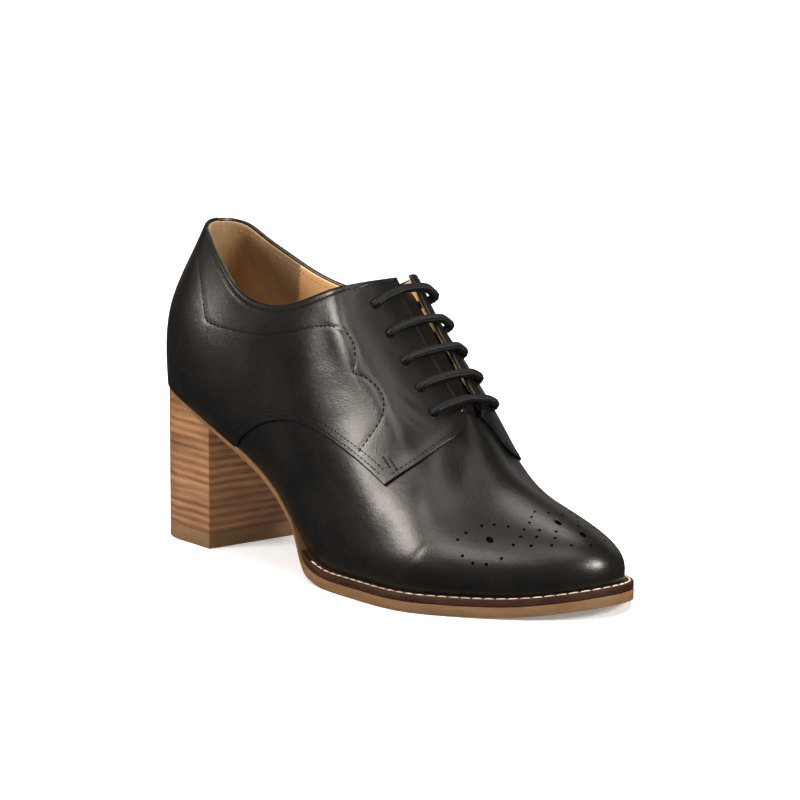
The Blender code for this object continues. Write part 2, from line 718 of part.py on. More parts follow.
def lace_corners():
    """Corner points of the lace: bars over the facings, legs in the eyelets, runs beneath."""
    over = QUARTER_STEP + LACE_CLEAR + LACE_RADIUS
    under = -(VAMP_WALL + LACE_CLEAR + LACE_RADIUS)
    pairs = eyelets()[::-1]
    corners = []
    for number, (lateral, medial) in enumerate(pairs):
        x_lateral, x_medial = EYELET_X[::-1][number]
        bar = [lateral[0] + lateral[1] * under, lateral[0] + lateral[1] * over]
        for y, extra in BAR_PLACES:
            share = (y - EYELET_LATERAL_Y) / (EYELET_MEDIAL_Y - EYELET_LATERAL_Y)
            point, normal = height_at(x_lateral + (x_medial - x_lateral) * share, y)
            bar.append(point + normal * (over + extra))
        bar += [medial[0] + medial[1] * (over + BAR_LOOP), medial[0] + medial[1] * under]
        corners += bar if number % 2 == 0 else bar[::-1]
    return corners


def build_laces(material, collection):
    """One round lace swept along its run as a bevelled curve."""
    path = rounded_path(lace_corners(), LACE_BEND)
    curve = bpy.data.curves.new("laces", "CURVE")
    curve.dimensions = "3D"
    curve.bevel_depth = LACE_RADIUS * MM
    curve.bevel_resolution = 1
    curve.use_fill_caps = True
    spline = curve.splines.new("POLY")
    spline.points.add(len(path) - 1)
    for spot, knot in zip(path, spline.points):
        place = (spot - np.array([X_MID, Y_MID, 0.0])) * MM
        knot.co = (*place, 1.0)
    holder = bpy.data.objects.new("lace_run", curve)
    collection.objects.link(holder)
    ready = holder.evaluated_get(bpy.context.evaluated_depsgraph_get())
    mesh = bpy.data.meshes.new_from_object(ready)
    bpy.data.objects.remove(holder, do_unlink=True)
    work = bmesh.new()
    work.from_mesh(mesh)
    bmesh.ops.remove_doubles(work, verts=work.verts, dist=1e-6)
    bmesh.ops.recalc_face_normals(work, faces=work.faces)
    work.to_mesh(mesh)
    work.free()
    mesh.name = "laces"
    mesh.materials.clear()
    mesh.materials.append(material)
    item = bpy.data.objects.new("laces", mesh)
    collection.objects.link(item)
    return item


for _item in list(bpy.data.objects):
    bpy.data.objects.remove(_item, do_unlink=True)

parts = fresh_collection(NAME)
cutters = fresh_collection(NAME + "_cutters")

black_leather = principled("black_leather", (0.016, 0.015, 0.015), 0.35)
tongue_leather = principled("tongue_leather", (0.013, 0.012, 0.012), 0.45)
insole_leather = principled("insole_leather", (0.52, 0.36, 0.21), 0.6)
outsole_tan = principled("outsole_tan", (0.43, 0.24, 0.10), 0.55)
welt_brown = principled("welt_brown", (0.07, 0.032, 0.022), 0.45)
heel_stack = principled("heel_stack", (0.36, 0.17, 0.06), 0.45)
top_lift_tan = principled("top_lift_tan", (0.40, 0.27, 0.14), 0.6)
lace_black = principled("lace_black", (0.012, 0.012, 0.012), 0.5)

upper = build_upper(black_leather, parts)
punch_eyelets(upper, cutters)
build_tongue(tongue_leather, parts)
build_insole(insole_leather, parts)
build_outsole(outsole_tan, parts)
build_welt(welt_brown, parts)
build_heel(heel_stack, parts)
build_top_lift(top_lift_tan, parts)
build_laces(lace_black, parts)
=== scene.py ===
import math

import bmesh
import bpy
import numpy as np
from mathutils import Matrix, Vector
from mathutils.bvhtree import BVHTree


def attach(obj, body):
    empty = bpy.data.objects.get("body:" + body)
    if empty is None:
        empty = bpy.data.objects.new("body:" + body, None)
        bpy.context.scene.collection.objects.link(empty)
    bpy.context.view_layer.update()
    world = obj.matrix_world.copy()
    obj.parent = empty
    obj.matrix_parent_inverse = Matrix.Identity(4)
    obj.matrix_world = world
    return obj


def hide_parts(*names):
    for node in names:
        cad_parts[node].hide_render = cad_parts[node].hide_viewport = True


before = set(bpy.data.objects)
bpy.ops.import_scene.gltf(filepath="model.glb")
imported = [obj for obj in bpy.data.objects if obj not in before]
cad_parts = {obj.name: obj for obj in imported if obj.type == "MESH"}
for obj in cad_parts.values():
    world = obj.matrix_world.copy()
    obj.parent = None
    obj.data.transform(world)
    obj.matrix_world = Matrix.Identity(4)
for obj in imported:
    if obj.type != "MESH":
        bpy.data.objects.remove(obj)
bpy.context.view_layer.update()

# Insole. A leather sock glued over a firm board, cut to the bottom of the last and drawn in under the upper.
# Its outline, and every piece after it, is drawn on the last: sections in millimetres, x from the back of
# the heel to the toe, y to the inner side, z from the floor, with seven widths up each section.
X_MID = 119.55
Y_MID = -3.25
REAR_X = 32.0
FRONT_X = 157.5
THROAT_Y = 3.4
SHARES = (0.0, 0.10, 0.25, 0.50, 0.75, 0.92, 1.0)
PROFILE_KNOTS = (0.0, 0.07, 0.19, 0.43, 0.68, 0.86, 1.0)
# degrees from the back about (REAR_X, 0), z feather, z top, radius at each share
HEEL_FAN = (
    (0.0, 61.3, 129.0, 27.7, 28.0, 27.9, 24.9, 16.2, 11.4, 9.6),
    (30.0, 60.9, 127.5, 27.2, 27.3, 27.2, 24.7, 17.2, 12.2, 10.4),
    (60.0, 59.5, 124.5, 25.9, 26.6, 27.0, 25.0, 18.8, 13.5, 11.6),
)
# x, z feather, z top, distance out on the outer side at each share
LATERAL = (
    (32.0, 55.1, 121.5, 25.0, 27.2, 28.3, 26.6, 20.4, 14.6, 12.2),
    (52.0, 48.3, 117.0, 27.8, 29.8, 30.3, 27.6, 22.3, 18.3, 16.5),
    (72.0, 40.6, 116.0, 29.7, 31.8, 32.2, 29.4, 24.3, 20.0, 17.5),
    (92.0, 29.3, 126.0, 32.2, 34.8, 34.9, 32.0, 25.8, 17.6, 11.0),
    (110.0, 14.0, 129.0, 35.6, 38.0, 38.0, 35.3, 28.4, 17.0, -2.0),
    (126.0, 7.6, 109.0, 39.0, 41.2, 41.0, 37.8, 31.6, 22.6, -3.4),
    (142.0, 7.2, 89.4, 41.8, 43.8, 43.3, 39.5, 31.7, 21.2, -3.4),
    (157.5, 7.2, 71.6, 43.6, 45.4, 44.6, 39.6, 30.6, 19.5, -3.4),
)
MEDIAL = (
    (32.0, 55.2, 121.5, 25.0, 27.2, 28.3, 26.6, 20.4, 14.6, 12.2),
    (52.0, 49.0, 117.0, 26.5, 28.9, 29.6, 27.0, 22.0, 18.2, 16.5),
    (72.0, 42.5, 116.0, 25.5, 28.2, 29.2, 27.6, 23.8, 19.8, 17.5),
    (92.0, 33.3, 126.0, 24.2, 27.4, 28.8, 28.0, 24.4, 17.2, 11.0),
    (110.0, 21.8, 129.0, 24.8, 28.2, 29.8, 28.4, 23.2, 14.5, 4.0),
    (126.0, 12.4, 109.0, 27.8, 30.9, 31.8, 28.8, 22.2, 14.0, 3.4),
    (142.0, 8.0, 89.4, 31.5, 34.5, 35.0, 31.5, 24.4, 15.2, 3.4),
    (157.5, 7.2, 71.6, 35.3, 37.7, 37.4, 32.6, 23.8, 14.0, 3.4),
)
# degrees from +x about (FRONT_X, THROAT_Y), minus towards the outer side, then as the heel
TOE_FAN = (
    (-67.5, 7.2, 71.6, 50.5, 52.0, 50.4, 40.5, 26.0, 10.0, 0.0),
    (-45.0, 7.5, 71.6, 54.5, 55.9, 53.0, 37.0, 19.0, 6.0, 0.0),
    (-22.5, 8.6, 71.6, 64.0, 64.6, 60.0, 37.0, 16.4, 5.0, 0.0),
    (0.0, 11.6, 71.6, 75.1, 75.2, 67.6, 32.6, 13.4, 4.0, 0.0),
    (22.5, 8.7, 71.6, 64.0, 64.2, 56.6, 27.8, 12.4, 4.0, 0.0),
    (45.0, 7.5, 71.6, 47.0, 48.1, 43.8, 25.2, 12.6, 4.6, 0.0),
    (67.5, 7.2, 71.6, 36.8, 38.5, 36.4, 26.6, 15.2, 6.6, 0.0),
)
# instep pressed flat by the laces: depth at its crest, y of the crest, half width, x of its start and end
FLAT_DEPTH = 3.0
FLAT_Y = 1.0
FLAT_HALF = 12.5
FLAT_START = (104.0, 122.0)
FLAT_END = (142.0, 178.0)


def metres(points):
    """Shoe millimetres to the part's metres."""
    return (np.asarray(points, float) - np.array([X_MID, Y_MID, 0.0])) * 0.001


def spline_basis(knots, where, period=0.0):
    """Weights that carry values at the knots to a cubic spline at the given places."""
    knots = np.asarray(knots, float)
    where = np.atleast_1d(np.asarray(where, float))
    count = len(knots)
    ends = np.append(knots, knots[0] + period) if period else knots
    step = np.diff(ends)
    left = np.zeros((count, count))
    right = np.zeros((count, count))
    for i in range(count):
        if not period and i in (0, count - 1):
            left[i, i] = 1.0
            continue
        before, after = step[i - 1], step[i]
        nxt = (i + 1) % count
        left[i, i - 1] += before
        left[i, i] += 2.0 * (before + after)
        left[i, nxt] += after
        right[i, nxt] += 6.0 / after
        right[i, i] -= 6.0 / after + 6.0 / before
        right[i, i - 1] += 6.0 / before
    bend = np.linalg.solve(left, right)
    if period:
        where = knots[0] + np.mod(where - knots[0], period)
    cell = np.clip(np.searchsorted(ends, where, side="right") - 1, 0, len(step) - 1)
    width = step[cell]
    a = (ends[cell + 1] - where) / width
    b = 1.0 - a
    eye = np.eye(count)
    nxt = (cell + 1) % count
    curve = (a ** 3 - a)[:, None] * bend[cell] + (b ** 3 - b)[:, None] * bend[nxt]
    return a[:, None] * eye[cell] + b[:, None] * eye[nxt] + curve * (width ** 2 / 6.0)[:, None]


def fan_section(center, degrees, row):
    """Points of a section in the upright plane at an angle."""
    turn = math.radians(degrees)
    return [(center[0] + r * math.cos(turn), center[1] + r * math.sin(turn), row[1] + s * (row[2] - row[1]))
            for s, r in zip(SHARES, row[3:])]


def side_section(row, sign):
    """Points of a section in the plane across the shoe."""
    return [(row[0], sign * out, row[1] + s * (row[2] - row[1])) for s, out in zip(SHARES, row[3:])]


sections = [("heel", row[0], fan_section((REAR_X, 0.0), 180.0 + row[0], row)) for row in HEEL_FAN]
sections += [("lateral", row[0], side_section(row, -1.0)) for row in LATERAL]
sections += [("toe", row[0], fan_section((FRONT_X, THROAT_Y), row[0], row)) for row in TOE_FAN]
sections += [("medial", row[0], side_section(row, 1.0)) for row in reversed(MEDIAL)]
sections += [("heel", -row[0], fan_section((REAR_X, 0.0), 180.0 - row[0], row))
             for row in reversed(HEEL_FAN[1:])]
net = np.array([row[2] for row in sections])
girth = np.linalg.norm(np.roll(net[:, 2], -1, axis=0) - net[:, 2], axis=1)
station_u = np.concatenate(([0.0], np.cumsum(girth)[:-1]))
period = float(np.sum(girth))
places = {}
for (kind, value, points), u in zip(sections, station_u):
    places.setdefault(kind, []).append((value, float(u)))
places["heel"] = sorted((v, u - period if v < 0 else u) for v, u in places["heel"])
places["toe"] = [(-90.0, places["lateral"][-1][1])] + places["toe"] + [(90.0, places["medial"][0][1])]
places["heel"] = ([(-90.0, places["medial"][-1][1] - period)] + places["heel"]
                  + [(90.0, places["lateral"][0][1])])
places["medial"] = places["medial"][::-1]


def around(kind, value):
    """Position round the shoe of a fan angle or of an x on one side."""
    table = places[kind]
    return np.interp(value, [row[0] for row in table], [row[1] for row in table])


def smooth_step(value, low, high):
    """Zero below low, one above high, smooth between."""
    t = np.clip((value - low) / (high - low), 0.0, 1.0)
    return t * t * (3.0 - 2.0 * t)


def pressed(x, y):
    """Depth by which the laces press the crest of the instep flat."""
    along = smooth_step(x, *FLAT_START) * (1.0 - smooth_step(x, *FLAT_END))
    return FLAT_DEPTH * along * np.maximum(1.0 - ((y - FLAT_Y) / FLAT_HALF) ** 2, 0.0) ** 2


def last(u, v):
    """Points of the last: u round the shoe, v from the feather edge to the top."""
    u = np.atleast_1d(np.asarray(u, float))
    v = np.atleast_1d(np.asarray(v, float))
    rows = spline_basis(station_u, u, period)
    cols = spline_basis(PROFILE_KNOTS, v)
    flat = rows @ net.reshape(len(net), -1)
    points = np.einsum("ik,ikc->ic", cols, flat.reshape(len(u), -1, 3))
    points[:, 2] -= pressed(points[:, 0], points[:, 1])
    return points


def unit(vectors):
    """Rows of vectors brought to length one."""
    return vectors / np.linalg.norm(vectors, axis=1)[:, None]


def upward(u, v):
    """Short steps up the columns of the last."""
    return last(u, np.minimum(v + 0.004, 1.0)) - last(u, np.maximum(v - 0.004, 0.0))


def outward(u, v):
    """Unit normals of the last."""
    return unit(np.cross(last(u + 0.25, v) - last(u - 0.25, v), upward(u, v)))


def ribs(count):
    """Paired positions on the two sides, from the back of the heel to the tip of the toe."""
    t = np.linspace(0.0, 1.0, count)
    heel = 90.0 * np.clip(t / 0.16, 0.0, 1.0)
    x = REAR_X + (FRONT_X - REAR_X) * np.clip((t - 0.16) / 0.52, 0.0, 1.0)
    toe = 90.0 * np.clip((1.0 - t) / 0.32, 0.0, 1.0)
    pairs = []
    for sign, kind in ((1.0, "lateral"), (-1.0, "medial")):
        side = np.where(t < 0.16, around("heel", sign * heel), around(kind, x))
        pairs.append(np.where(t > 0.68, around("toe", -sign * toe), side))
    return pairs


def feather(u, out):
    """Feather edge of the last, moved out in plan by a margin."""
    here = last(u, np.zeros(len(u)))
    run = last(u + 0.3, np.zeros(len(u))) - last(u - 0.3, np.zeros(len(u)))
    away = np.stack([run[:, 1], -run[:, 0], 0.0 * run[:, 0]], 1)
    return here + unit(away) * np.reshape(out, (-1, 1))


def grid_mesh(columns, rows):
    """Bmesh grid whose vertices are listed column by column."""
    work = bmesh.new()
    bmesh.ops.create_grid(work, x_segments=columns - 1, y_segments=rows - 1, size=0.5)
    order = sorted(work.verts, key=lambda w: (round((w.co.x + 0.5) * (columns - 1)), w.co.y))
    return work, order


def plate(left, right, across, thick, round_edge):
    """Closed plate between two edges, a thickness down from its top, with its rim rounded."""
    work, order = grid_mesh(len(left), across + 1)
    share = np.linspace(0.0, 1.0, across + 1)
    top = left[:, None, :] + (right - left)[:, None, :] * share[None, :, None]
    for vert, spot in zip(order, metres(top.reshape(-1, 3))):
        vert.co = spot
    bmesh.ops.remove_doubles(work, verts=work.verts, dist=2e-5)
    grown = bmesh.ops.extrude_face_region(work, geom=work.faces[:])
    for item in grown["geom"]:
        if isinstance(item, bmesh.types.BMVert):
            item.co.z -= 0.001 * float(thick(item.co.x * 1000.0 + X_MID, item.co.z * 1000.0))
    bmesh.ops.recalc_face_normals(work, faces=work.faces)
    rim = [e for e in work.edges if e.is_manifold and e.calc_face_angle() > 0.7]
    bmesh.ops.bevel(work, geom=rim, offset=round_edge * 0.001, offset_type="OFFSET", affect="EDGES",
                    segments=2, profile=0.5, material=-1, clamp_overlap=True)
    return work


def shade(work, sharp):
    """Smooth shading, with hard edges where faces meet at more than an angle."""
    for face in work.faces:
        face.smooth = True
    for edge in work.edges:
        edge.smooth = not (edge.is_manifold and edge.calc_face_angle() > sharp)


def finish_piece(name, work, material, node, sharp=0.9):
    """Object from a bmesh, smooth but for its hard edges, tied to the part."""
    shade(work, sharp)
    mesh = bpy.data.meshes.new(name)
    work.to_mesh(mesh)
    work.free()
    mesh.materials.append(material)
    piece = bpy.data.objects.new(name, mesh)
    bpy.context.scene.collection.objects.link(piece)
    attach(piece, "root")
    if node:
        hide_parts(node)
    return piece


def surface_material(name, color, roughness):
    """Principled material with its node tree, shader and object coordinates."""
    material = bpy.data.materials.new(name)
    material.use_nodes = True
    tree = material.node_tree
    shader = tree.nodes["Principled BSDF"]
    shader.inputs["Base Color"].default_value = (*color, 1.0)
    shader.inputs["Roughness"].default_value = roughness
    where = tree.nodes.new("ShaderNodeTexCoord")
    return material, tree, shader, where.outputs["Object"]


def noise(tree, where, scale, detail=3.0, stretch=None, rough=0.55):
    """Noise value on object coordinates, optionally stretched along an axis."""
    if stretch:
        mapping = tree.nodes.new("ShaderNodeMapping")
        mapping.inputs["Scale"].default_value = stretch
        tree.links.new(where, mapping.inputs["Vector"])
        where = mapping.outputs["Vector"]
    node = tree.nodes.new("ShaderNodeTexNoise")
    node.inputs["Scale"].default_value = scale
    node.inputs["Detail"].default_value = detail
    node.inputs["Roughness"].default_value = rough
    tree.links.new(where, node.inputs["Vector"])
    return node.outputs["Fac"]


def ramp(tree, value, stops):
    """Colour ramp over a value."""
    node = tree.nodes.new("ShaderNodeValToRGB")
    bar = node.color_ramp
    while len(bar.elements) < len(stops):
        bar.elements.new(0.5)
    for element, (at, color) in zip(bar.elements, stops):
        element.position = at
        element.color = (*color, 1.0)
    tree.links.new(value, node.inputs["Fac"])
    return node.outputs["Color"]


def span(tree, value, low, high, start=0.3, end=0.7):
    """Value mapped to a range."""
    node = tree.nodes.new("ShaderNodeMapRange")
    node.inputs["From Min"].default_value = start
    node.inputs["From Max"].default_value = end
    node.inputs["To Min"].default_value = low
    node.inputs["To Max"].default_value = high
    tree.links.new(value, node.inputs["Value"])
    return node.outputs["Result"]


def bump(tree, height, depth, under=None, strength=1.0):
    """Bump of a height in metres, over an earlier one."""
    node = tree.nodes.new("ShaderNodeBump")
    node.inputs["Strength"].default_value = strength
    node.inputs["Distance"].default_value = depth
    tree.links.new(height, node.inputs["Height"])
    if under:
        tree.links.new(under, node.inputs["Normal"])
    return node.outputs["Normal"]


def mottled(name, color, roughness, cloud, stops, grain, depth):
    """Material coloured by one noise and roughened by another; cloud and grain hold the noise settings."""
    material, tree, shader, where = surface_material(name, color, roughness)
    tree.links.new(ramp(tree, noise(tree, where, *cloud), stops), shader.inputs["Base Color"])
    tree.links.new(bump(tree, noise(tree, where, *grain), depth), shader.inputs["Normal"])
    return material, tree, shader, where


insole_leather = mottled("insole_leather", (0.40, 0.25, 0.12), 0.6, (45.0, 5.0),
                         ((0.3, (0.33, 0.195, 0.09)), (0.7, (0.47, 0.30, 0.155))), (1400.0, 3.0), 0.00012)[0]

INSOLE_IN = 2.4
INSOLE_RISE = 2.2
lat, med = ribs(170)
left = feather(lat, np.full(len(lat), -INSOLE_IN)) + np.array([0.0, 0.0, INSOLE_RISE])
right = feather(med, np.full(len(med), -INSOLE_IN)) + np.array([0.0, 0.0, INSOLE_RISE])
work = plate(left, right, 14, lambda x, z: 2.2, 0.3)
finish_piece("insole", work, insole_leather, "insole")

# Lining. Thin tan leather inside the whole upper, nubuck at the heel and smooth in front of a zigzag seam;
# the nubuck is coloured well below its own tan, as painted shade inside the heel.
# Its raw edge stands beside the folded black edge at the collar and down both facings.
COLLAR = (
    (16.0, 126.0, 126.0),
    (21.0, 125.0, 124.6),
    (27.0, 122.8, 121.8),
    (33.0, 118.6, 117.4),
    (43.0, 112.0, 111.4),
    (52.0, 106.2, 106.9),
    (61.0, 102.0, 103.6),
    (72.0, 100.1, 101.2),
    (84.0, 100.8, 101.4),
    (94.0, 103.0, 103.6),
    (103.0, 106.2, 106.6),
    (112.0, 109.9, 110.2),
    (118.0, 112.2, 112.4),
    (126.0, 114.6, 114.6),
)
# throat slot: x, distance of the outer and of the inner facing edge from THROAT_Y
THROAT_GAP = ((118.0, 1.4, 6.2), (127.0, 1.3, 7.4), (157.5, 2.0, 7.0))
# lower edge of the quarters: x, z outer side, z inner side
SEAM = (
    (64.0, 43.6, 44.6),
    (68.0, 46.8, 47.4),
    (76.5, 52.0, 52.4),
    (86.0, 56.6, 56.8),
    (96.0, 59.1, 59.4),
    (108.0, 60.1, 60.4),
    (120.0, 58.7, 58.8),
    (131.5, 55.4, 55.2),
    (146.0, 49.6, 49.2),
    (157.5, 43.2, 43.2),
)
# front edge of each flap about the throat end: degrees off +x, radius
FLAP_LATERAL = ((45.0, 5.0), (46.0, 9.5), (50.8, 13.9), (62.3, 21.1), (69.9, 27.0), (75.7, 31.7),
                (85.0, 37.6), (90.0, 41.0))
FLAP_MEDIAL = ((40.0, 6.4), (41.0, 9.0), (43.5, 13.5), (53.0, 17.5), (63.0, 20.5), (75.0, 23.6), (90.0, 27.6))
# the slot is looked for ahead of this x; a distance and a height beyond every edge
SLOT_FROM_X = 100.0
FAR_AWAY = 99.0
FAR_UP = 500.0
# share of a sheet's rows that run up to its middle line
BODY_ROWS = 0.8
fine_v = np.linspace(0.0, 1.0, 241)


def smooth_table(table, index, at):
    """Column of a table read along its first, rounded between the rows."""
    knots = [row[0] for row in table]
    low, high = knots[0], knots[-1]
    return spline_basis(knots, np.clip(at, low, high)) @ np.array([row[index] for row in table])


def first_crossing(values):
    """Share of v at which a row of values first turns positive, or one."""
    over = np.nonzero(values > 0.0)[0]
    if len(over) == 0:
        return 1.0
    k = over[0]
    if k == 0:
        return 0.0
    part = values[k - 1] / (values[k - 1] - values[k])
    return float(fine_v[k - 1] + part * (fine_v[k] - fine_v[k - 1]))


def trim(u):
    """Where one column of leather is cut: v at the quarter's lower edge and at the top edge."""
    line = last(np.full(len(fine_v), u), fine_v)
    x, y, z = line[:, 0], line[:, 1], line[:, 2]
    side = 1 if y[len(y) // 4] < 0.0 else 2
    collar = np.where(x > COLLAR[-1][0], FAR_UP, smooth_table(COLLAR, side, x))
    top = first_crossing(z - collar)
    ahead = x[0] > FRONT_X + 0.01
    if ahead:
        reach = np.hypot(x - FRONT_X, y - THROAT_Y)
        swing = math.degrees(math.atan2(y[0] - THROAT_Y, x[0] - FRONT_X))
        gap = np.interp(swing, (-90.0, 90.0), THROAT_GAP[-1][1:])
    else:
        reach = np.where(x > SLOT_FROM_X, np.abs(y - THROAT_Y), FAR_AWAY)
        gap = np.interp(x, [row[0] for row in THROAT_GAP], [row[side] for row in THROAT_GAP])
    top = min(top, first_crossing(gap - reach))
    if ahead:
        turn = abs(swing)
        flap = FLAP_LATERAL if side == 1 else FLAP_MEDIAL
        if turn < flap[0][0]:
            return top, top
        edge = np.interp(turn, [row[0] for row in flap], [row[1] for row in flap])
        return first_crossing(edge - reach), top
    if x[0] < SEAM[0][0]:
        return 0.0, top
    return first_crossing(z - smooth_table(SEAM, side, x)), top


def skin(spots, closed=False):
    """Bmesh over columns of points that each close on themselves; open ends are filled."""
    work, order = grid_mesh(*spots.shape[:2])
    for vert, spot in zip(order, metres(spots.reshape(-1, 3))):
        vert.co = spot
    bmesh.ops.remove_doubles(work, verts=work.verts, dist=1e-6)
    if not closed:
        bmesh.ops.holes_fill(work, edges=[e for e in work.edges if e.is_boundary], sides=0)
    bmesh.ops.recalc_face_normals(work, faces=work.faces)
    return work


def leather(columns, lows, tops, outer, inner, rows, back_rows, closed=False, mids=None):
    """Closed sheet of leather on the last: outer face up, a rounded top edge, inner face down, rounded foot.

    outer and inner give the lift off the last in millimetres from u, v and the point on the last; mids is a v
    that most rows run up to, so that a corner of the top edge does not shear them."""
    turn = np.linspace(0.0, math.pi, 5)[1:-1]
    n = len(columns)
    u_all, v_all, edge_all, fall_all = [], [], [], []
    mids = lows + BODY_ROWS * (tops - lows) if mids is None else mids
    for u, low, mid, top in zip(columns, lows, mids, tops):
        up = np.interp(np.linspace(0.0, 1.0, rows + 1), (0.0, BODY_ROWS, 1.0), (low, mid, top))
        down = np.interp(np.linspace(1.0, 0.0, back_rows + 1), (0.0, BODY_ROWS, 1.0), (low, mid, top))
        v = np.concatenate((up, np.full(3, top), down, np.full(3, low)))
        edge = np.concatenate((np.zeros(rows + 1), np.sin(turn), np.zeros(back_rows + 1), -np.sin(turn)))
        fall = np.concatenate((np.ones(rows + 1), np.cos(turn), -np.ones(back_rows + 1), -np.cos(turn)))
        u_all.append(np.full(len(v), u))
        v_all.append(v)
        edge_all.append(edge)
        fall_all.append(fall)
    u, v = np.concatenate(u_all), np.concatenate(v_all)
    edge, fall = np.concatenate(edge_all), np.concatenate(fall_all)
    base = last(u, v)
    normal = outward(u, v)
    high = outer(u, v, base)
    deep = inner(u, v, base)
    middle, half = (high + deep) / 2.0, (high - deep) / 2.0
    along = unit(upward(u, v))
    spots = base + normal * (middle + half * fall)[:, None] + along * (half * edge)[:, None]
    spots = spots.reshape(n, -1, 3)
    return skin(np.concatenate((spots, spots[:, :1]), 1), closed)


def mm_of_v(u, v):
    """Millimetres along the surface for a unit of v."""
    step = last(u, np.minimum(v + 0.01, 1.0)) - last(u, np.maximum(v - 0.01, 0.0))
    return np.linalg.norm(step, axis=1) / 0.02


def scaled_sum(tree, value, factor, base):
    """Value times a factor, added to another value."""
    node = tree.nodes.new("ShaderNodeMath")
    node.operation = "MULTIPLY_ADD"
    node.inputs[1].default_value = factor
    tree.links.new(value, node.inputs[0])
    tree.links.new(base, node.inputs[2])
    return node.outputs["Value"]


LINING_OUT = -0.78
LINING_IN = -1.6
EDGE_BACK = 0.5
# the lining ends this much below the folded edge, and more round the end of the throat
LINING_SHORT = 0.4
THROAT_SHORT = 2.6
round_shoe = np.linspace(0.0, period, 361)
edges = np.array([trim(u % period) for u in round_shoe])
end = np.interp(round_shoe, (around("lateral", 150.0), around("toe", -90.0), around("toe", 90.0),
                             around("medial", 150.0)), (0.0, THROAT_SHORT, THROAT_SHORT, 0.0))
tops = edges[:, 1] - (EDGE_BACK + LINING_SHORT + end) / mm_of_v(round_shoe, edges[:, 1])
lining_work = leather(round_shoe, np.zeros(len(round_shoe)), tops,
                      lambda u, v, p: np.full(len(u), LINING_OUT), lambda u, v, p: np.full(len(u), LINING_IN),
                      22, 44, closed=True)

lining_tan, tree, shader, where = surface_material("lining_tan", (0.45, 0.30, 0.16), 0.75)
# heel nubuck: a darker tan than the front, deepened further as painted shade of the heel's inside
nap_with_painted_shade = ramp(tree, noise(tree, where, 30.0, 6.0, rough=0.65),
           ((0.25, (0.20, 0.118, 0.042)), (0.5, (0.29, 0.178, 0.073)), (0.75, (0.39, 0.250, 0.114))))
smooth_tan = ramp(tree, noise(tree, where, 18.0, 3.0),
                  ((0.3, (0.70, 0.412, 0.172)), (0.7, (0.82, 0.505, 0.232))))
split = tree.nodes.new("ShaderNodeSeparateXYZ")
tree.links.new(where, split.inputs["Vector"])
slant = scaled_sum(tree, split.outputs["Z"], -0.5, split.outputs["X"])
front = span(tree, slant, 0.0, 1.0, -0.1244, -0.1238)
blend = tree.nodes.new("ShaderNodeMix")
blend.data_type = "RGBA"
tree.links.new(front, blend.inputs["Factor"])
tree.links.new(nap_with_painted_shade, blend.inputs["A"])
tree.links.new(smooth_tan, blend.inputs["B"])
tree.links.new(blend.outputs["Result"], shader.inputs["Base Color"])
shader.inputs["Sheen Weight"].default_value = 0.25
shader.inputs["Sheen Roughness"].default_value = 0.5
fuzz = bump(tree, noise(tree, where, 900.0, 4.0, rough=0.7), 0.0003)
tree.links.new(bump(tree, noise(tree, where, 120.0, 3.0), 0.0005, fuzz), shader.inputs["Normal"])
lining = finish_piece("lining", lining_work, lining_tan, None)

# Vamp. One piece of smooth black calf drawn over the front of the last and in under the quarters.
# It is lasted tight, with a soft ridge below the throat, a shallow break over the ball and a punched toe.
black_leather, tree, shader, where = surface_material("black_leather", (0.005, 0.0044, 0.0041), 0.34)
depths = ramp(tree, noise(tree, where, 28.0, 5.0, rough=0.6),
              ((0.3, (0.0030, 0.0026, 0.0024)), (0.72, (0.0070, 0.0060, 0.0055))))
tree.links.new(depths, shader.inputs["Base Color"])
tree.links.new(span(tree, noise(tree, where, 55.0, 6.0, rough=0.65), 0.32, 0.42), shader.inputs["Roughness"])
shader.inputs["Specular IOR Level"].default_value = 0.30
shader.inputs["Specular Tint"].default_value = (1.0, 0.95, 0.90, 1.0)
shader.inputs["Coat Weight"].default_value = 0.58
shader.inputs["Coat Roughness"].default_value = 0.25
shader.inputs["Coat Tint"].default_value = (1.0, 0.96, 0.92, 1.0)
cells = tree.nodes.new("ShaderNodeTexVoronoi")
cells.feature = "DISTANCE_TO_EDGE"
cells.inputs["Scale"].default_value = 1300.0
tree.links.new(where, cells.inputs["Vector"])
pores = bump(tree, span(tree, cells.outputs["Distance"], 0.0, 1.0, 0.0, 0.22), 0.000018)
grain = bump(tree, noise(tree, where, 520.0, 4.0, rough=0.6), 0.000042, pores)
drawn = bump(tree, noise(tree, where, 110.0, 3.0, (0.8, 1.0, 1.15), 0.55), 0.00011, grain)
tree.links.new(drawn, shader.inputs["Normal"])
tree.links.new(drawn, shader.inputs["Coat Normal"])


def run_along(line):
    """Length run along a line up to each of its points."""
    return np.concatenate(([0.0], np.cumsum(np.linalg.norm(np.diff(line, axis=0), axis=1))))


def near_line(points, line):
    """Distance from points to a line through table points, and the share run along it."""
    line = np.asarray(line, float)
    best = np.full(len(points), 1e9)
    share = np.zeros(len(points))
    done = run_along(line)
    lengths = np.linalg.norm(np.diff(line, axis=0), axis=1)
    for k in range(len(line) - 1):
        step = line[k + 1] - line[k]
        if lengths[k] < 1e-6:
            continue
        t = np.clip((points - line[k]) @ step / (step @ step), 0.0, 1.0)
        gap = np.linalg.norm(points - line[k] - t[:, None] * step, axis=1)
        closer = gap < best
        best = np.where(closer, gap, best)
        share = np.where(closer, (done[k] + t * lengths[k]) / done[-1], share)
    return best, share


def folds(points, table):
    """Sum of soft troughs and ridges: each row has a height, a half width and the line it follows."""
    lift = np.zeros(len(points))
    for height, half, line in table:
        gap, share = near_line(points, line)
        lift += height * np.exp(-(gap / half) ** 2) * smooth_step(np.minimum(share, 1.0 - share), -0.2, 0.35)
    return lift


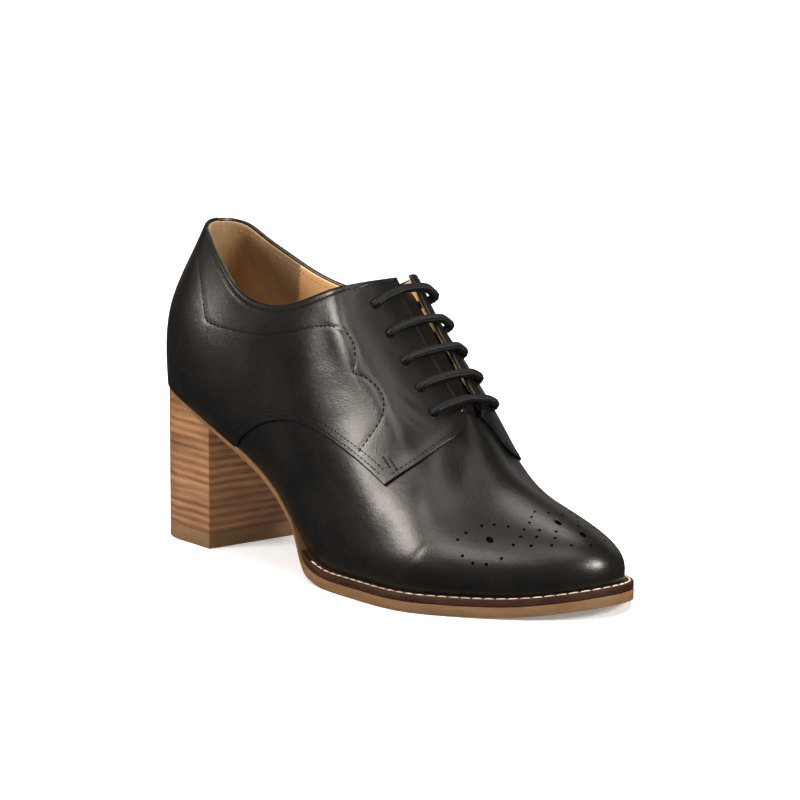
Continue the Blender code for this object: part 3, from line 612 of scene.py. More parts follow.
# height, half width, line: breaks of the vamp over the ball and below the throat
VAMP_FOLDS = (
    (0.55, 7.5, ((168.0, 3.0, 66.0), (180.0, 1.0, 55.5), (192.0, -1.0, 45.0))),
    (-0.6, 6.5, ((170.0, -13.0, 59.0), (178.0, -16.0, 51.5), (186.0, -20.0, 42.0))),
    (-0.5, 6.5, ((170.0, 17.0, 58.0), (178.0, 19.0, 50.0), (186.0, 22.0, 41.0))),
    (0.4, 6.0, ((160.0, -40.5, 30.0), (170.0, -38.0, 37.0), (178.0, -30.0, 44.0))),
    (-0.12, 1.2, ((178.6, -44.4, 18.9), (180.4, -42.4, 22.2), (182.3, -40.2, 25.2), (183.7, -37.5, 28.0))),
    (0.05, 2.6, ((181.0, -43.0, 20.0), (183.6, -40.2, 24.2), (185.6, -37.2, 27.4))),
    (-0.22, 1.8, ((176.0, 36.0, 21.0), (179.5, 34.0, 26.0), (182.5, 30.0, 31.0))),
    (0.22, 2.4, ((178.5, 35.6, 20.5), (182.0, 33.2, 25.5), (185.0, 29.2, 30.0))),
)
VAMP_BACK = -0.7
# medallion: x, y of the holes on the toe, the large ones first; the outer wing is repeated on the inner side
LARGE_HOLE = 1.35
LARGE_STRETCH = (1.25, 0.85)
SMALL_HOLE = 0.62
MIDDLE_LARGE = 2
MEDALLION_MIDDLE = (
    (212.3, -1.3), (221.1, 2.8), (203.3, -4.6), (204.8, -7.8), (206.4, -10.4), (207.3, -14.0), (208.5, -16.9),
    (206.0, -0.2), (208.4, 4.6), (211.2, -9.9), (212.6, -12.7), (213.5, -16.5), (215.4, -5.4), (217.3, -7.9),
    (218.6, -10.9), (223.0, -5.1), (226.2, 1.9), (223.4, 12.2), (204.6, 12.4), (208.6, 12.4), (212.9, 8.5),
    (215.9, 5.8), (214.6, 14.6), (198.2, 16.0),
)
WING_LARGE = 1
MEDALLION_WING = (
    (200.8, -25.4), (208.5, -20.8), (202.4, -17.4), (198.2, -20.6), (195.1, -24.1), (192.5, -29.5),
    (191.5, -32.9), (195.7, -34.4), (199.8, -33.1), (204.1, -30.2), (207.7, -26.1),
)
WING_AXIS_Y = 2.0

lateral_back = around("lateral", np.arange(58.0, 157.5, 1.0))
toe_run = around("toe", np.concatenate((np.arange(-90.0, -50.0, 1.1), np.arange(-50.0, 40.0, 0.62),
                                        np.arange(40.0, 90.1, 1.4))))
medial_back = around("medial", np.arange(156.5, 57.9, -1.0))
vamp_u = np.concatenate((lateral_back, toe_run, medial_back))
vamp_edges = np.array([trim(u) for u in vamp_u])
tuck = np.where((vamp_u > around("toe", -47.0)) & (vamp_u < around("toe", 42.0)), -0.4, 7.0)
vamp_tops = np.minimum(vamp_edges[:, 0] + tuck / mm_of_v(vamp_u, vamp_edges[:, 0]), vamp_edges[:, 1])
vamp_tops = np.maximum(vamp_tops, 0.06)
vamp_work = leather(vamp_u, np.zeros(len(vamp_u)), vamp_tops,
                    lambda u, v, p: folds(p, VAMP_FOLDS), lambda u, v, p: np.full(len(u), VAMP_BACK), 92, 30)
vamp = finish_piece("vamp", vamp_work, black_leather, None)


def surface_of(piece):
    """Search tree over a finished piece."""
    return BVHTree.FromObject(piece, bpy.context.evaluated_depsgraph_get())


def carve(piece, tool_work, raw, sharp=0.9):
    """Cut a tool out of a piece for good; raw is the material of the cut."""
    mesh = bpy.data.meshes.new("tool")
    tool_work.to_mesh(mesh)
    tool_work.free()
    mesh.materials.append(raw)
    tool = bpy.data.objects.new("tool", mesh)
    bpy.context.scene.collection.objects.link(tool)
    cut = piece.modifiers.new("cut", "BOOLEAN")
    cut.operation = "DIFFERENCE"
    cut.solver = "EXACT"
    cut.object = tool
    cut.material_mode = "TRANSFER"
    ready = piece.evaluated_get(bpy.context.evaluated_depsgraph_get())
    fresh = bpy.data.meshes.new_from_object(ready)
    piece.modifiers.clear()
    old = piece.data
    piece.data = fresh
    fresh.name = old.name
    bpy.data.meshes.remove(old)
    bpy.data.objects.remove(tool, do_unlink=True)
    bpy.data.meshes.remove(mesh)
    work = bmesh.new()
    work.from_mesh(fresh)
    shade(work, sharp)
    work.to_mesh(fresh)
    work.free()


def add_punch(work, spot, normal, radius, depth, segments, stretch=(1.0, 1.0)):
    """Round punch, sized in millimetres, at a place on the part and along its normal."""
    aim = Vector((0.0, 0.0, 1.0)).rotation_difference(normal).to_matrix().to_4x4()
    place = Matrix.Translation(spot) @ aim @ Matrix.Diagonal((*stretch, 1.0, 1.0))
    bmesh.ops.create_cone(work, cap_ends=True, segments=segments, radius1=radius * 0.001,
                          radius2=radius * 0.001, depth=depth * 0.001, matrix=place)


# Cut faces: the raw black edge of the leather, and matte black floors in the shallow toe punches as painted
# shade of holes that go through.
cut_black_and_hole_shade, tree, shader, where = surface_material("cut_black_and_hole_shade", (0.0015, 0.0013, 0.0012), 0.95)
tree.links.new(bump(tree, noise(tree, where, 1500.0, 3.0), 0.0001), shader.inputs["Normal"])
shader.inputs["Specular IOR Level"].default_value = 0.02
vamp_tree = surface_of(vamp)
punch = bmesh.new()
inner_wing = [(x, 2.0 * WING_AXIS_Y - y) for x, y in MEDALLION_WING]
holes = []
for table, large in ((MEDALLION_MIDDLE, MIDDLE_LARGE),
                     (MEDALLION_WING, WING_LARGE),
                     (inner_wing, WING_LARGE)):
    holes += [(x, y, LARGE_HOLE if k < large else SMALL_HOLE) for k, (x, y) in enumerate(table)]
for x, y, radius in holes:
    above = Vector(metres((x, y, 90.0)))
    spot, normal, _, _ = vamp_tree.ray_cast(above, Vector((0.0, 0.0, -1.0)))
    if spot is None:
        continue
    add_punch(punch, spot, normal, radius, 1.1, 14, LARGE_STRETCH if radius == LARGE_HOLE else (1.0, 1.0))
# The punches stop inside the leather; their matte black floors are painted shade of open holes.
carve(vamp, punch, cut_black_and_hole_shade)

# Quarters. Two black calf pieces that wrap the heel and close over the vamp with open facings.
# Edges are skived and folded; they are sewn to the vamp with two rows and along the edges with one.
QUARTER_UP = 1.1
# columns to each side over which the rows even out a corner of the top edge
CALM_COLUMNS = 16
# pairs of eyelets from the top: x on the outer side, x on the inner side
EYELET_X = ((126.0, 122.6), (134.2, 131.5), (142.5, 140.5), (150.6, 148.8), (158.2, 156.8))
EYELET_LATERAL_Y = -14.0
EYELET_MEDIAL_Y = 16.5
EYELET_RADIUS = 1.8
# stitch line of the heel stiffener, from the collar down: x, y, z
BACK_LINE = ((26.9, -15.7, 115.2), (32.8, -20.1, 107.9), (39.0, -24.0, 99.3), (43.9, -26.8, 90.4))
# ornamental stitch line from there round two scallops to the vamp: x, y, z
ORNAMENT = (
    (43.9, -26.8, 90.4), (46.0, -26.9, 89.5), (51.9, -27.0, 88.9), (63.3, -27.2, 88.6), (75.6, -28.3, 89.1),
    (88.3, -29.8, 90.9), (98.0, -30.7, 93.2), (107.5, -30.8, 96.0), (114.0, -30.4, 97.5),
    (119.5, -29.7, 98.1), (124.0, -28.8, 97.2), (127.6, -28.1, 95.2), (130.6, -28.2, 91.8),
    (132.5, -29.6, 86.8), (133.3, -31.6, 81.9), (135.8, -30.6, 81.7), (139.2, -29.2, 80.2),
    (143.4, -27.9, 77.2), (146.6, -28.1, 73.4), (148.3, -29.8, 69.6), (148.4, -31.2, 66.8),
    (147.2, -33.4, 62.9), (145.4, -35.8, 58.6), (143.6, -38.0, 54.6),
)
# height, half width, line: soft breaks of the quarter, drawn on the outer side
QUARTER_FOLDS = (
    (-0.20, 1.8, ((151.0, -24.5, 70.0), (155.5, -22.5, 66.5), (160.5, -19.0, 63.0))),
    (0.20, 2.0, ((149.0, -26.5, 68.8), (153.5, -24.8, 65.2), (158.5, -22.0, 61.5))),
    (-0.16, 1.8, ((147.5, -22.5, 75.5), (152.0, -20.0, 72.5), (156.0, -18.0, 69.5))),
    (-0.45, 9.0, ((84.0, -30.0, 88.0), (96.0, -32.5, 78.0), (104.0, -34.5, 68.0))),
    (0.35, 9.0, ((118.0, -32.0, 86.0), (126.0, -34.0, 76.0), (132.0, -36.0, 64.0))),
    (-0.35, 10.0, ((36.0, -26.0, 78.0), (50.0, -29.0, 72.0), (64.0, -31.0, 66.0))),
)


def quarter_columns(side):
    """Columns of one quarter from the back seam to the throat end."""
    sign = 1.0 if side == "lateral" else -1.0
    heel = around("heel", sign * np.arange(0.0, 90.0, 1.8))
    body = around(side, np.concatenate((np.arange(32.0, 112.0, 0.95), np.arange(112.0, 124.0, 0.6),
                                        np.arange(124.0, 157.5, 0.8))))
    stop = 45.25 if side == "lateral" else 40.25
    toe = around("toe", -sign * np.concatenate((np.arange(90.0, 54.0, -1.0), np.arange(54.0, stop, -0.5))))
    u = np.concatenate((heel, body, toe))
    return np.where(u < 0.0, u + period, u) if sign < 0.0 else u


def chaikin(line, rounds=2, keep=()):
    """Line with its corners cut, apart from the kept ones."""
    line = [np.asarray(p, float) for p in line]
    kept = [line[k] for k in keep]
    for _ in range(rounds):
        out = [line[0]]
        for a, b in zip(line[:-1], line[1:]):
            first = a if any(np.allclose(a, k) for k in kept) else 0.75 * a + 0.25 * b
            second = b if any(np.allclose(b, k) for k in kept) else 0.25 * a + 0.75 * b
            out += [first, second]
        out.append(line[-1])
        line = out
    return np.array(line)


ornament_line = chaikin(ORNAMENT, 2, keep=(14,))
back_line = chaikin(BACK_LINE, 2)
quarters = {}
quarter_rims = {}
for side in ("lateral", "medial"):
    mirror = np.array([1.0, 1.0 if side == "lateral" else -1.0, 1.0])
    columns = quarter_columns(side)
    cut = np.array([trim(u) for u in columns])
    low_v = cut[:, 0] + np.where(cut[:, 0] > 0.0, 0.45, 0.0) / mm_of_v(columns, cut[:, 0])
    top_v = np.maximum(cut[:, 1] - EDGE_BACK / mm_of_v(columns, cut[:, 1]), low_v + 0.004)
    quarter_rims[side] = (columns, low_v, top_v)
    by_u = np.argsort(columns)

    def top_gap(u, v):
        """Millimetres to the top edge along the column."""
        return (np.interp(u, columns[by_u], top_v[by_u]) - v) * mm_of_v(u, v)

    def outer(u, v, p):
        from_top = top_gap(u, v)
        lift = QUARTER_UP + folds(p * mirror, QUARTER_FOLDS)
        lift -= 0.22 * np.exp(-((from_top - 2.1) / 0.8) ** 2)
        gap, _ = near_line(p * mirror, ornament_line)
        lift -= 0.36 * np.exp(-(gap / 0.85) ** 2)
        gap, _ = near_line(p * mirror, back_line)
        lift -= 0.24 * np.exp(-(gap / 0.8) ** 2)
        return lift - 0.25 * np.exp(-np.maximum(from_top, 0.0) / 0.8)

    def inner(u, v, p):
        from_top = top_gap(u, v)
        return 0.04 - 0.72 * np.clip(1.0 - (from_top - 1.0) / 5.0, 0.0, 1.0)

    windows = [slice(max(k - CALM_COLUMNS, 0), k + CALM_COLUMNS + 1) for k in range(len(top_v))]
    lowest = np.array([top_v[near].min() for near in windows])
    calm = np.array([lowest[near].mean() for near in windows])
    middle_v = low_v + np.maximum(0.96 * (calm - low_v), 0.5 * (top_v - low_v))
    piece_work = leather(columns, low_v, top_v, outer, inner, 104, 30, mids=middle_v)
    quarters[side] = finish_piece("quarter_" + side, piece_work, black_leather,
                                  "upper" if side == "lateral" else None)


def plan_height(x, y):
    """Point and normal of the last over a plan position on the instep or vamp."""
    if x <= FRONT_X:
        u = around("lateral" if y < THROAT_Y else "medial", x)
    else:
        u = around("toe", math.degrees(math.atan2(y - THROAT_Y, x - FRONT_X)))
    line = last(np.full(len(fine_v), u), fine_v)
    reach = np.hypot(max(x - FRONT_X, 0.0), y - THROAT_Y)
    far = np.hypot(np.maximum(line[:, 0] - FRONT_X, 0.0), line[:, 1] - THROAT_Y)
    v = min(float(np.interp(-reach, -far[fine_v > 0.35], fine_v[fine_v > 0.35])), 0.985)
    for _ in range(16):
        here = last(u, v)[0][:2]
        du = (last(u + 0.2, v)[0] - last(u - 0.2, v)[0])[:2] / 0.4
        dv = (last(u, min(v + 0.002, 1.0))[0] - last(u, v - 0.002)[0])[:2] / (min(v + 0.002, 1.0) - v + 0.002)
        move = np.linalg.solve(np.stack([du, dv], 1), np.array([x, y]) - here)
        move = np.clip(move, (-6.0, -0.06), (6.0, 0.06))
        u, v = u + move[0], min(max(v + move[1], 0.01), 0.999)
    return last(u, v)[0], outward(u, v)[0]


eyelets = {"lateral": [plan_height(pair[0], EYELET_LATERAL_Y) for pair in EYELET_X],
           "medial": [plan_height(pair[1], EYELET_MEDIAL_Y) for pair in EYELET_X]}
for side, piece in quarters.items():
    punch = bmesh.new()
    for point, normal in eyelets[side]:
        add_punch(punch, Vector(metres(point)), Vector(normal), EYELET_RADIUS, 7.0, 20)
    carve(piece, punch, cut_black_and_hole_shade)

# Stitching of the upper. Waxed black thread in short lockstitches, each sunk a little in its own dent.
# The rows follow the folded edges; the ornament is a heavier thread, and the lining is sewn with tan.
thread_black, tree, shader, where = mottled(
    "thread_black", (0.003, 0.0028, 0.0026), 0.7, (300.0, 2.0),
    ((0.3, (0.0018, 0.0017, 0.0016)), (0.7, (0.0048, 0.0044, 0.0041))), (2600.0, 2.0), 0.00008)
shader.inputs["Specular IOR Level"].default_value = 0.18


def points_at(line, run, at):
    """Points of a line at lengths along it."""
    return np.stack([np.interp(at, run, line[:, k]) for k in range(3)], 1)


def even(line, pitch):
    """Points at an even pitch along a line, with the directions there."""
    line = np.asarray(line, float)
    lengths = np.linalg.norm(np.diff(line, axis=0), axis=1)
    line = line[np.concatenate(([True], lengths > 1e-6))]
    run = run_along(line)
    at = np.arange(0.5 * pitch, run[-1], pitch)
    return points_at(line, run, at), points_at(line, run, at + 0.3) - points_at(line, run, at - 0.3)


def sew(work, line, tree, pitch, length, thick, sink=0.0, lean=0.0):
    """Row of stitches on a surface along a line in shoe millimetres."""
    spots, runs = even(line, pitch)
    for spot, run in zip(spots, runs):
        hit, normal, _, _ = tree.find_nearest(Vector(metres(spot)))
        along = Vector(run).normalized()
        along = (along - normal * along.dot(normal)).normalized()
        across = normal.cross(along)
        along = (along + across * lean).normalized()
        across = normal.cross(along)
        turn = Matrix((along, across, normal)).transposed().to_4x4()
        size = Matrix.Diagonal((length * 0.0005, thick * 0.0005, thick * 0.00042, 1.0))
        bmesh.ops.create_uvsphere(work, u_segments=6, v_segments=4, radius=1.0,
                                  matrix=Matrix.Translation(hit - normal * sink * 0.001) @ turn @ size
                                  @ Matrix.Rotation(math.pi / 2.0, 4, "Y"))


def edge_row(u, v, lift, inward, offset):
    """Line a distance in from an edge, with its run smoothed; inward is +1 to the left of the run."""
    line = last(u, v) + outward(u, v) * lift
    normal = outward(u, v)
    run = unit(np.gradient(line, axis=0))
    for _ in range(3):
        run[1:-1] = run[:-2] + run[1:-1] + run[2:]
        run = unit(run)
    return line + np.cross(normal, run) * inward * offset


# two short rows that lock the corner of each flap: x, y, z at their ends
BAR_TACK = (((153.2, -35.1, 53.7), (158.0, -35.2, 49.5)), ((155.7, -34.1, 53.4), (160.2, -34.2, 49.3)))
# pitch, length and thickness of a stitch
RIM_STITCH = (1.9, 1.5, 0.5)
FINE_STITCH = (1.9, 1.5, 0.55)
TACK_STITCH = (1.5, 1.5, 0.7)
ORNAMENT_STITCH = (2.2, 1.8, 0.8)
rows_work = bmesh.new()
heavy_work = bmesh.new()
for side, piece in quarters.items():
    tree_of = surface_of(piece)
    columns, low_v, top_v = quarter_rims[side]
    left = 1.0 if side == "lateral" else -1.0
    mirror = np.array([1.0, left, 1.0])
    sew(rows_work, edge_row(columns, top_v, QUARTER_UP, -left, 2.1), tree_of, *RIM_STITCH)
    body = np.nonzero((low_v > 0.0) & (last(columns, low_v)[:, 0] < 155.0))[0]
    body = body[last(columns[body], np.zeros(len(body)))[:, 0] <= FRONT_X]
    for offset in (1.5, 3.7):
        line = edge_row(columns[body], low_v[body], QUARTER_UP, left, offset)
        sew(rows_work, line, tree_of, *FINE_STITCH)
    flap = np.nonzero(last(columns, np.zeros(len(columns)))[:, 0] > FRONT_X)[0][2:-8]
    sew(rows_work, edge_row(columns[flap], low_v[flap], QUARTER_UP, left, 1.7), tree_of, *FINE_STITCH)
    sew(heavy_work, ornament_line * mirror, tree_of, *ORNAMENT_STITCH)
    for tack in BAR_TACK:
        sew(heavy_work, np.array(tack) * mirror, tree_of, *TACK_STITCH)
    sew(rows_work, back_line * mirror, tree_of, *FINE_STITCH)
finish_piece("edge_stitches", rows_work, thread_black, None)
finish_piece("ornament_stitches", heavy_work, thread_black, None)

thread_tan = mottled("thread_tan", (0.50, 0.30, 0.14), 0.7, (260.0, 2.0),
                     ((0.3, (0.30, 0.165, 0.070)), (0.7, (0.50, 0.30, 0.14))), (2400.0, 2.0), 0.0001)[0]
lining_tree = surface_of(lining)
# middle of the zigzag seam, from the collar down: x, y, z
LINING_SEAM = ((48.6, 16.6, 106.3), (43.3, 20.8, 95.7), (39.4, 22.6, 88.0), (35.4, 23.0, 80.0))
inside_work = bmesh.new()
for left in (1.0, -1.0):
    spots, _ = even(np.array(LINING_SEAM) * np.array([1.0, left, 1.0]), 1.2)
    spots[::2, 0] -= 0.9
    spots[1::2, 0] += 0.9
    for start, end in zip(spots[:-1], spots[1:]):
        size = float(np.linalg.norm(end - start))
        sew(inside_work, np.array([start, end]), lining_tree, size, size * 1.1, 0.45)
behind = last(round_shoe, tops)[:, 0] < 113.0
for half in (round_shoe < 0.5 * period, round_shoe > 0.5 * period):
    run = np.nonzero(behind & half)[0]
    under = tops[run] - 2.6 / mm_of_v(round_shoe[run], tops[run])
    line = last(round_shoe[run], under) + outward(round_shoe[run], under) * (LINING_IN - 0.3)
    sew(inside_work, line, lining_tree, 2.4, 1.7, 0.45)
finish_piece("lining_stitches", inside_work, thread_tan, None)

# Tongue. Thin black leather, sewn under the vamp at its foot and lying free under both facings.
# It is cut as a strip, widest below its top, and its middle swells up in the slot between the facings.
# x, half width, depth of its outer face under the last, rise of its middle in the slot
TONGUE = (
    (122.5, 15.0, 5.7, 3.4),
    (129.0, 16.0, 5.6, 3.5),
    (136.0, 16.5, 5.5, 3.45),
    (143.0, 16.5, 5.5, 3.45),
    (150.0, 16.0, 5.4, 3.35),
    (157.0, 15.5, 5.2, 3.1),
    (163.0, 14.0, 4.6, 2.4),
    (168.0, 12.0, 2.9, 0.7),
    (173.0, 10.0, 2.3, 0.0),
)
TONGUE_THICK = 1.4
TONGUE_MIDDLE = 0.21
TONGUE_CROWN = 0.48
TONGUE_ACROSS = 33
work, order = grid_mesh(len(TONGUE), TONGUE_ACROSS)
count = 0
for x, half, depth, rise in TONGUE:
    for s in np.linspace(-1.0, 1.0, TONGUE_ACROSS):
        point, normal = plan_height(x, THROAT_Y + half * s + 1e-3)
        crown = max(1.0 - ((s - TONGUE_MIDDLE) / TONGUE_CROWN) ** 8, 0.0)
        order[count].co = metres(point - normal * (depth - rise * crown))
        count += 1
bmesh.ops.recalc_face_normals(work, faces=work.faces)
if sum(face.normal.z for face in work.faces) < 0.0:
    bmesh.ops.reverse_faces(work, faces=work.faces)
bmesh.ops.solidify(work, geom=work.faces[:], thickness=TONGUE_THICK * 0.001)
bmesh.ops.recalc_face_normals(work, faces=work.faces)
tongue = finish_piece("tongue", work, black_leather, "tongue", 9.0)
smoother = tongue.modifiers.new("smooth", "SUBSURF")
smoother.levels = 2
smoother.render_levels = 2

# Welt. A dark brown leather strip sewn round the forepart, its top showing as a narrow ledge.
# Cream waxed stitches, four to five millimetres long, run along the ledge.
WELT_OUT = 3.6
WELT_IN = 1.8
WELT_THICK = 2.8
WAIST_OUT = 0.5
SEAT_GAP = 0.3
LAYER_GAP = 0.3
WELT_LATERAL_X = 113.0
WELT_MEDIAL_X = 112.0


def fore(x, limit):
    """How far a place belongs to the forepart."""
    return smooth_step(x, limit - 14.0, limit + 5.0)


welt_u = np.concatenate((around("lateral", np.arange(WELT_LATERAL_X, 157.5, 1.5)),
                         around("toe", np.arange(-90.0, 90.1, 1.5)),
                         around("medial", np.arange(156.0, WELT_MEDIAL_X - 0.1, -1.5))))
edge_here = feather(welt_u, np.zeros(len(welt_u)))
share = fore(edge_here[:, 0], np.where(edge_here[:, 1] < 0.0, WELT_LATERAL_X, WELT_MEDIAL_X))
welt_edge = WAIST_OUT + share * (WELT_OUT - WAIST_OUT)
welt_top = edge_here[:, 2] - SEAT_GAP
welt_low = welt_top - share * (WELT_THICK + LAYER_GAP) + LAYER_GAP
# profile: share from the inner to the outer edge, share from the foot to the top
WELT_PROFILE = ((0.0, 0.0), (0.0, 1.0), (0.62, 1.0), (0.66, 0.94), (0.76, 0.94), (0.80, 1.0), (0.90, 1.0),
                (0.97, 0.93), (1.0, 0.80), (1.0, 0.45), (1.0, 0.16), (0.97, 0.04), (0.92, 0.0), (0.0, 0.0))
rings = []
for out, rise in WELT_PROFILE:
    ring = feather(welt_u, -WELT_IN + out * (welt_edge + WELT_IN))
    ring[:, 2] = welt_low + rise * (welt_top - welt_low)
    rings.append(ring)
work = skin(np.stack(rings, 1))
welt_brown, tree, shader, where = mottled(
    "welt_brown", (0.045, 0.018, 0.010), 0.5, (70.0, 5.0),
    ((0.3, (0.017, 0.0060, 0.0030)), (0.7, (0.042, 0.0160, 0.0082))), (500.0, 4.0, (1.0, 1.0, 2.5)), 0.0002)
shader.inputs["Specular IOR Level"].default_value = 0.15
welt = finish_piece("welt", work, welt_brown, "welt", 0.8)

thread_cream = mottled("thread_cream", (0.62, 0.53, 0.40), 0.7, (260.0, 2.0),
                       ((0.3, (0.46, 0.37, 0.26)), (0.7, (0.74, 0.66, 0.53))), (2200.0, 2.0), 0.00012)[0]
welt_line = feather(welt_u, -WELT_IN + 0.71 * (welt_edge + WELT_IN))
welt_line[:, 2] = welt_top
work = bmesh.new()
sew(work, welt_line[4:-4], surface_of(welt), 4.5, 4.2, 0.95, -0.05, 0.06)
finish_piece("welt_stitches", work, thread_cream, None)

# Outsole. Tan rubbery leather, thick and flat under the ball with toe spring, thin through the waist.
# Cemented and sewn under the welt, its edge trimmed flush and waxed.
OUTSOLE_THICK = 3.8
WAIST_THICK = 2.2
lat, med = ribs(230)
ends = []
for u, limit in ((lat, WELT_LATERAL_X), (med, WELT_MEDIAL_X)):
    base = feather(u, np.zeros(len(u)))
    part = fore(base[:, 0], limit)
    rim = feather(u, WAIST_OUT + part * (WELT_OUT - WAIST_OUT))
    rim[:, 2] = base[:, 2] - SEAT_GAP - part * (WELT_THICK + LAYER_GAP) + 0.2
    ends.append(rim)


def outsole_depth(x, z):
    """Thickness of the outsole along the shoe, ending flat on the floor under the ball."""
    depth = WAIST_THICK + 0.2 + (OUTSOLE_THICK - WAIST_THICK) * float(fore(x, WELT_LATERAL_X))
    return min(depth, z)


work = plate(ends[0], ends[1], 16, outsole_depth, 0.45)
outsole_tan, tree, shader, where = mottled(
    "outsole_tan", (0.33, 0.18, 0.08), 0.5, (60.0, 6.0, (1.0, 1.0, 4.0), 0.6),
    ((0.28, (0.112, 0.051, 0.0150)), (0.72, (0.175, 0.086, 0.0285))), (700.0, 4.0, (1.0, 1.0, 2.0)), 0.00025)
tree.links.new(span(tree, noise(tree, where, 90.0, 4.0), 0.42, 0.62), shader.inputs["Roughness"])
finish_piece("outsole", work, outsole_tan, "outsole", 0.8)

# Heel. A block of stacked leather lifts glued under the seat, sanded flat at the breast and waxed warm brown.
# The lifts show as uneven bands with darker joints.
BREAST_LATERAL_X = 46.0
BREAST_MEDIAL_X = 50.0
TOP_LIFT = 5.6
t = np.linspace(0.0, 1.0, 60)
angle = 90.0 * np.clip(t / 0.72, 0.0, 1.0)
run = np.clip((t - 0.72) / 0.28, 0.0, 1.0)
heel_lat = np.where(t < 0.72, around("heel", angle),
                    around("lateral", REAR_X + run * (BREAST_LATERAL_X - REAR_X)))
heel_med = np.where(t < 0.72, around("heel", -angle),
                    around("medial", REAR_X + run * (BREAST_MEDIAL_X - REAR_X)))
heel_ends = []
for u in (heel_lat, heel_med):
    rim = feather(u, np.full(len(u), WAIST_OUT))
    rim[:, 2] = rim[:, 2] - SEAT_GAP - WAIST_THICK - 0.05
    heel_ends.append(rim)
work = plate(heel_ends[0], heel_ends[1], 12, lambda x, z: z - TOP_LIFT - 0.05, 0.5)
heel_stack, tree, shader, where = surface_material("heel_stack", (0.22, 0.105, 0.042), 0.5)
level = tree.nodes.new("ShaderNodeMapping")
level.inputs["Scale"].default_value = (0.28, 0.28, 1.0)
tree.links.new(where, level.inputs["Vector"])
lifts = tree.nodes.new("ShaderNodeTexWave")
lifts.bands_direction = "Z"
lifts.inputs["Scale"].default_value = 98.0
lifts.inputs["Distortion"].default_value = 2.0
lifts.inputs["Detail"].default_value = 3.0
lifts.inputs["Detail Scale"].default_value = 1.6
tree.links.new(level.outputs["Vector"], lifts.inputs["Vector"])
streak = noise(tree, where, 260.0, 5.0, (0.08, 0.08, 3.0), 0.65)
cloud = noise(tree, where, 45.0, 4.0, (0.5, 0.5, 2.4), 0.6)
blended = scaled_sum(tree, streak, 0.5, span(tree, cloud, 0.0, 0.40, 0.25, 0.75))
mixed = scaled_sum(tree, lifts.outputs["Fac"], 0.17, blended)
browns = ramp(tree, mixed,
              ((0.24, (0.058, 0.0205, 0.0060)), (0.42, (0.122, 0.049, 0.0155)),
               (0.58, (0.202, 0.089, 0.0310)), (0.78, (0.295, 0.147, 0.0570))))
tree.links.new(browns, shader.inputs["Base Color"])
tree.links.new(span(tree, streak, 0.42, 0.6), shader.inputs["Roughness"])
tree.links.new(bump(tree, streak, 0.0003, bump(tree, lifts.outputs["Fac"], 0.0003)), shader.inputs["Normal"])
finish_piece("heel", work, heel_stack, "heel", 0.8)

# Top lift. The wearing layer of the heel, olive tan rubber, glued under the stack and sanded flush with it.
# Its edge is a little rounded where it meets the floor.
lift_ends = []
for rim in heel_ends:
    flat = rim.copy()
    flat[:, 2] = TOP_LIFT
    lift_ends.append(flat)
work = plate(lift_ends[0], lift_ends[1], 12, lambda x, z: TOP_LIFT, 0.4)
top_lift_tan = mottled(
    "top_lift_tan", (0.25, 0.145, 0.062), 0.6, (80.0, 6.0, (0.4, 0.4, 2.0)),
    ((0.3, (0.126, 0.064, 0.0210)), (0.7, (0.190, 0.104, 0.0390))), (600.0, 4.0), 0.0003)[0]
finish_piece("heel_top_lift", work, top_lift_tan, "heel_top_lift", 0.8)

# Laces. One round braided waxed cord, laced straight: a bar over the facings at each pair of eyelets.
# It passes down through each eyelet and on to the next pair beneath; its ends lie hidden at the top.
LACE_RADIUS = 1.66
LACE_BEND = 2.3
# mesh step along the lace, points round it, strands each way round and their lay
LACE_STEP = 0.26
LACE_ROUND = 49
STRANDS = 5.0
LAY = 2.0
OVER = QUARTER_UP + LACE_RADIUS + 0.1
UNDER = -(1.6 + 0.35 + LACE_RADIUS)
# places of each bar across the shoe: y, extra height over the facings; then the lace's extra height over
# each inner eyelet, from the top
BAR_PLACES = ((-9.0, 0.0), (1.6, 0.2), (12.0, 0.4))
BAR_LOOP = (1.5, 1.3, 0.3, 0.6, 1.1)
corners = []
for number in range(5):
    outer_eyelet, inner_eyelet = eyelets["lateral"][4 - number], eyelets["medial"][4 - number]
    x_outer, x_inner = EYELET_X[4 - number]
    bar = [outer_eyelet[0] + outer_eyelet[1] * UNDER, outer_eyelet[0] + outer_eyelet[1] * (OVER + 0.2)]
    for y, extra in BAR_PLACES:
        share = (y - EYELET_LATERAL_Y) / (EYELET_MEDIAL_Y - EYELET_LATERAL_Y)
        point, normal = plan_height(x_outer + (x_inner - x_outer) * share, y)
        bar.append(point + normal * (OVER + extra))
    bar += [inner_eyelet[0] + inner_eyelet[1] * (OVER + BAR_LOOP[4 - number]),
            inner_eyelet[0] + inner_eyelet[1] * UNDER]
    corners += bar if number % 2 == 0 else bar[::-1]
path = [corners[0]]
for before, here, after in zip(corners[:-2], corners[1:-1], corners[2:]):
    behind, ahead = before - here, after - here
    reach = min(LACE_BEND, 0.48 * np.linalg.norm(behind), 0.48 * np.linalg.norm(ahead))
    start = here + behind / np.linalg.norm(behind) * reach
    stop = here + ahead / np.linalg.norm(ahead) * reach
    for t in np.linspace(0.0, 1.0, 9):
        path.append((1.0 - t) ** 2 * start + 2.0 * t * (1.0 - t) * here + t * t * stop)
path = np.array(path + [corners[-1]])
run = run_along(path)
at = np.arange(0.0, run[-1], LACE_STEP)
path = points_at(path, run, at)
ahead = unit(np.gradient(path, axis=0))
frame_up = np.zeros_like(path)
frame_up[0] = np.cross(ahead[0], (0.0, 1.0, 0.0))
for k in range(1, len(path)):
    up = frame_up[k - 1] - ahead[k] * np.dot(frame_up[k - 1], ahead[k])
    frame_up[k] = up / np.linalg.norm(up)
frame_side = np.cross(ahead, frame_up)
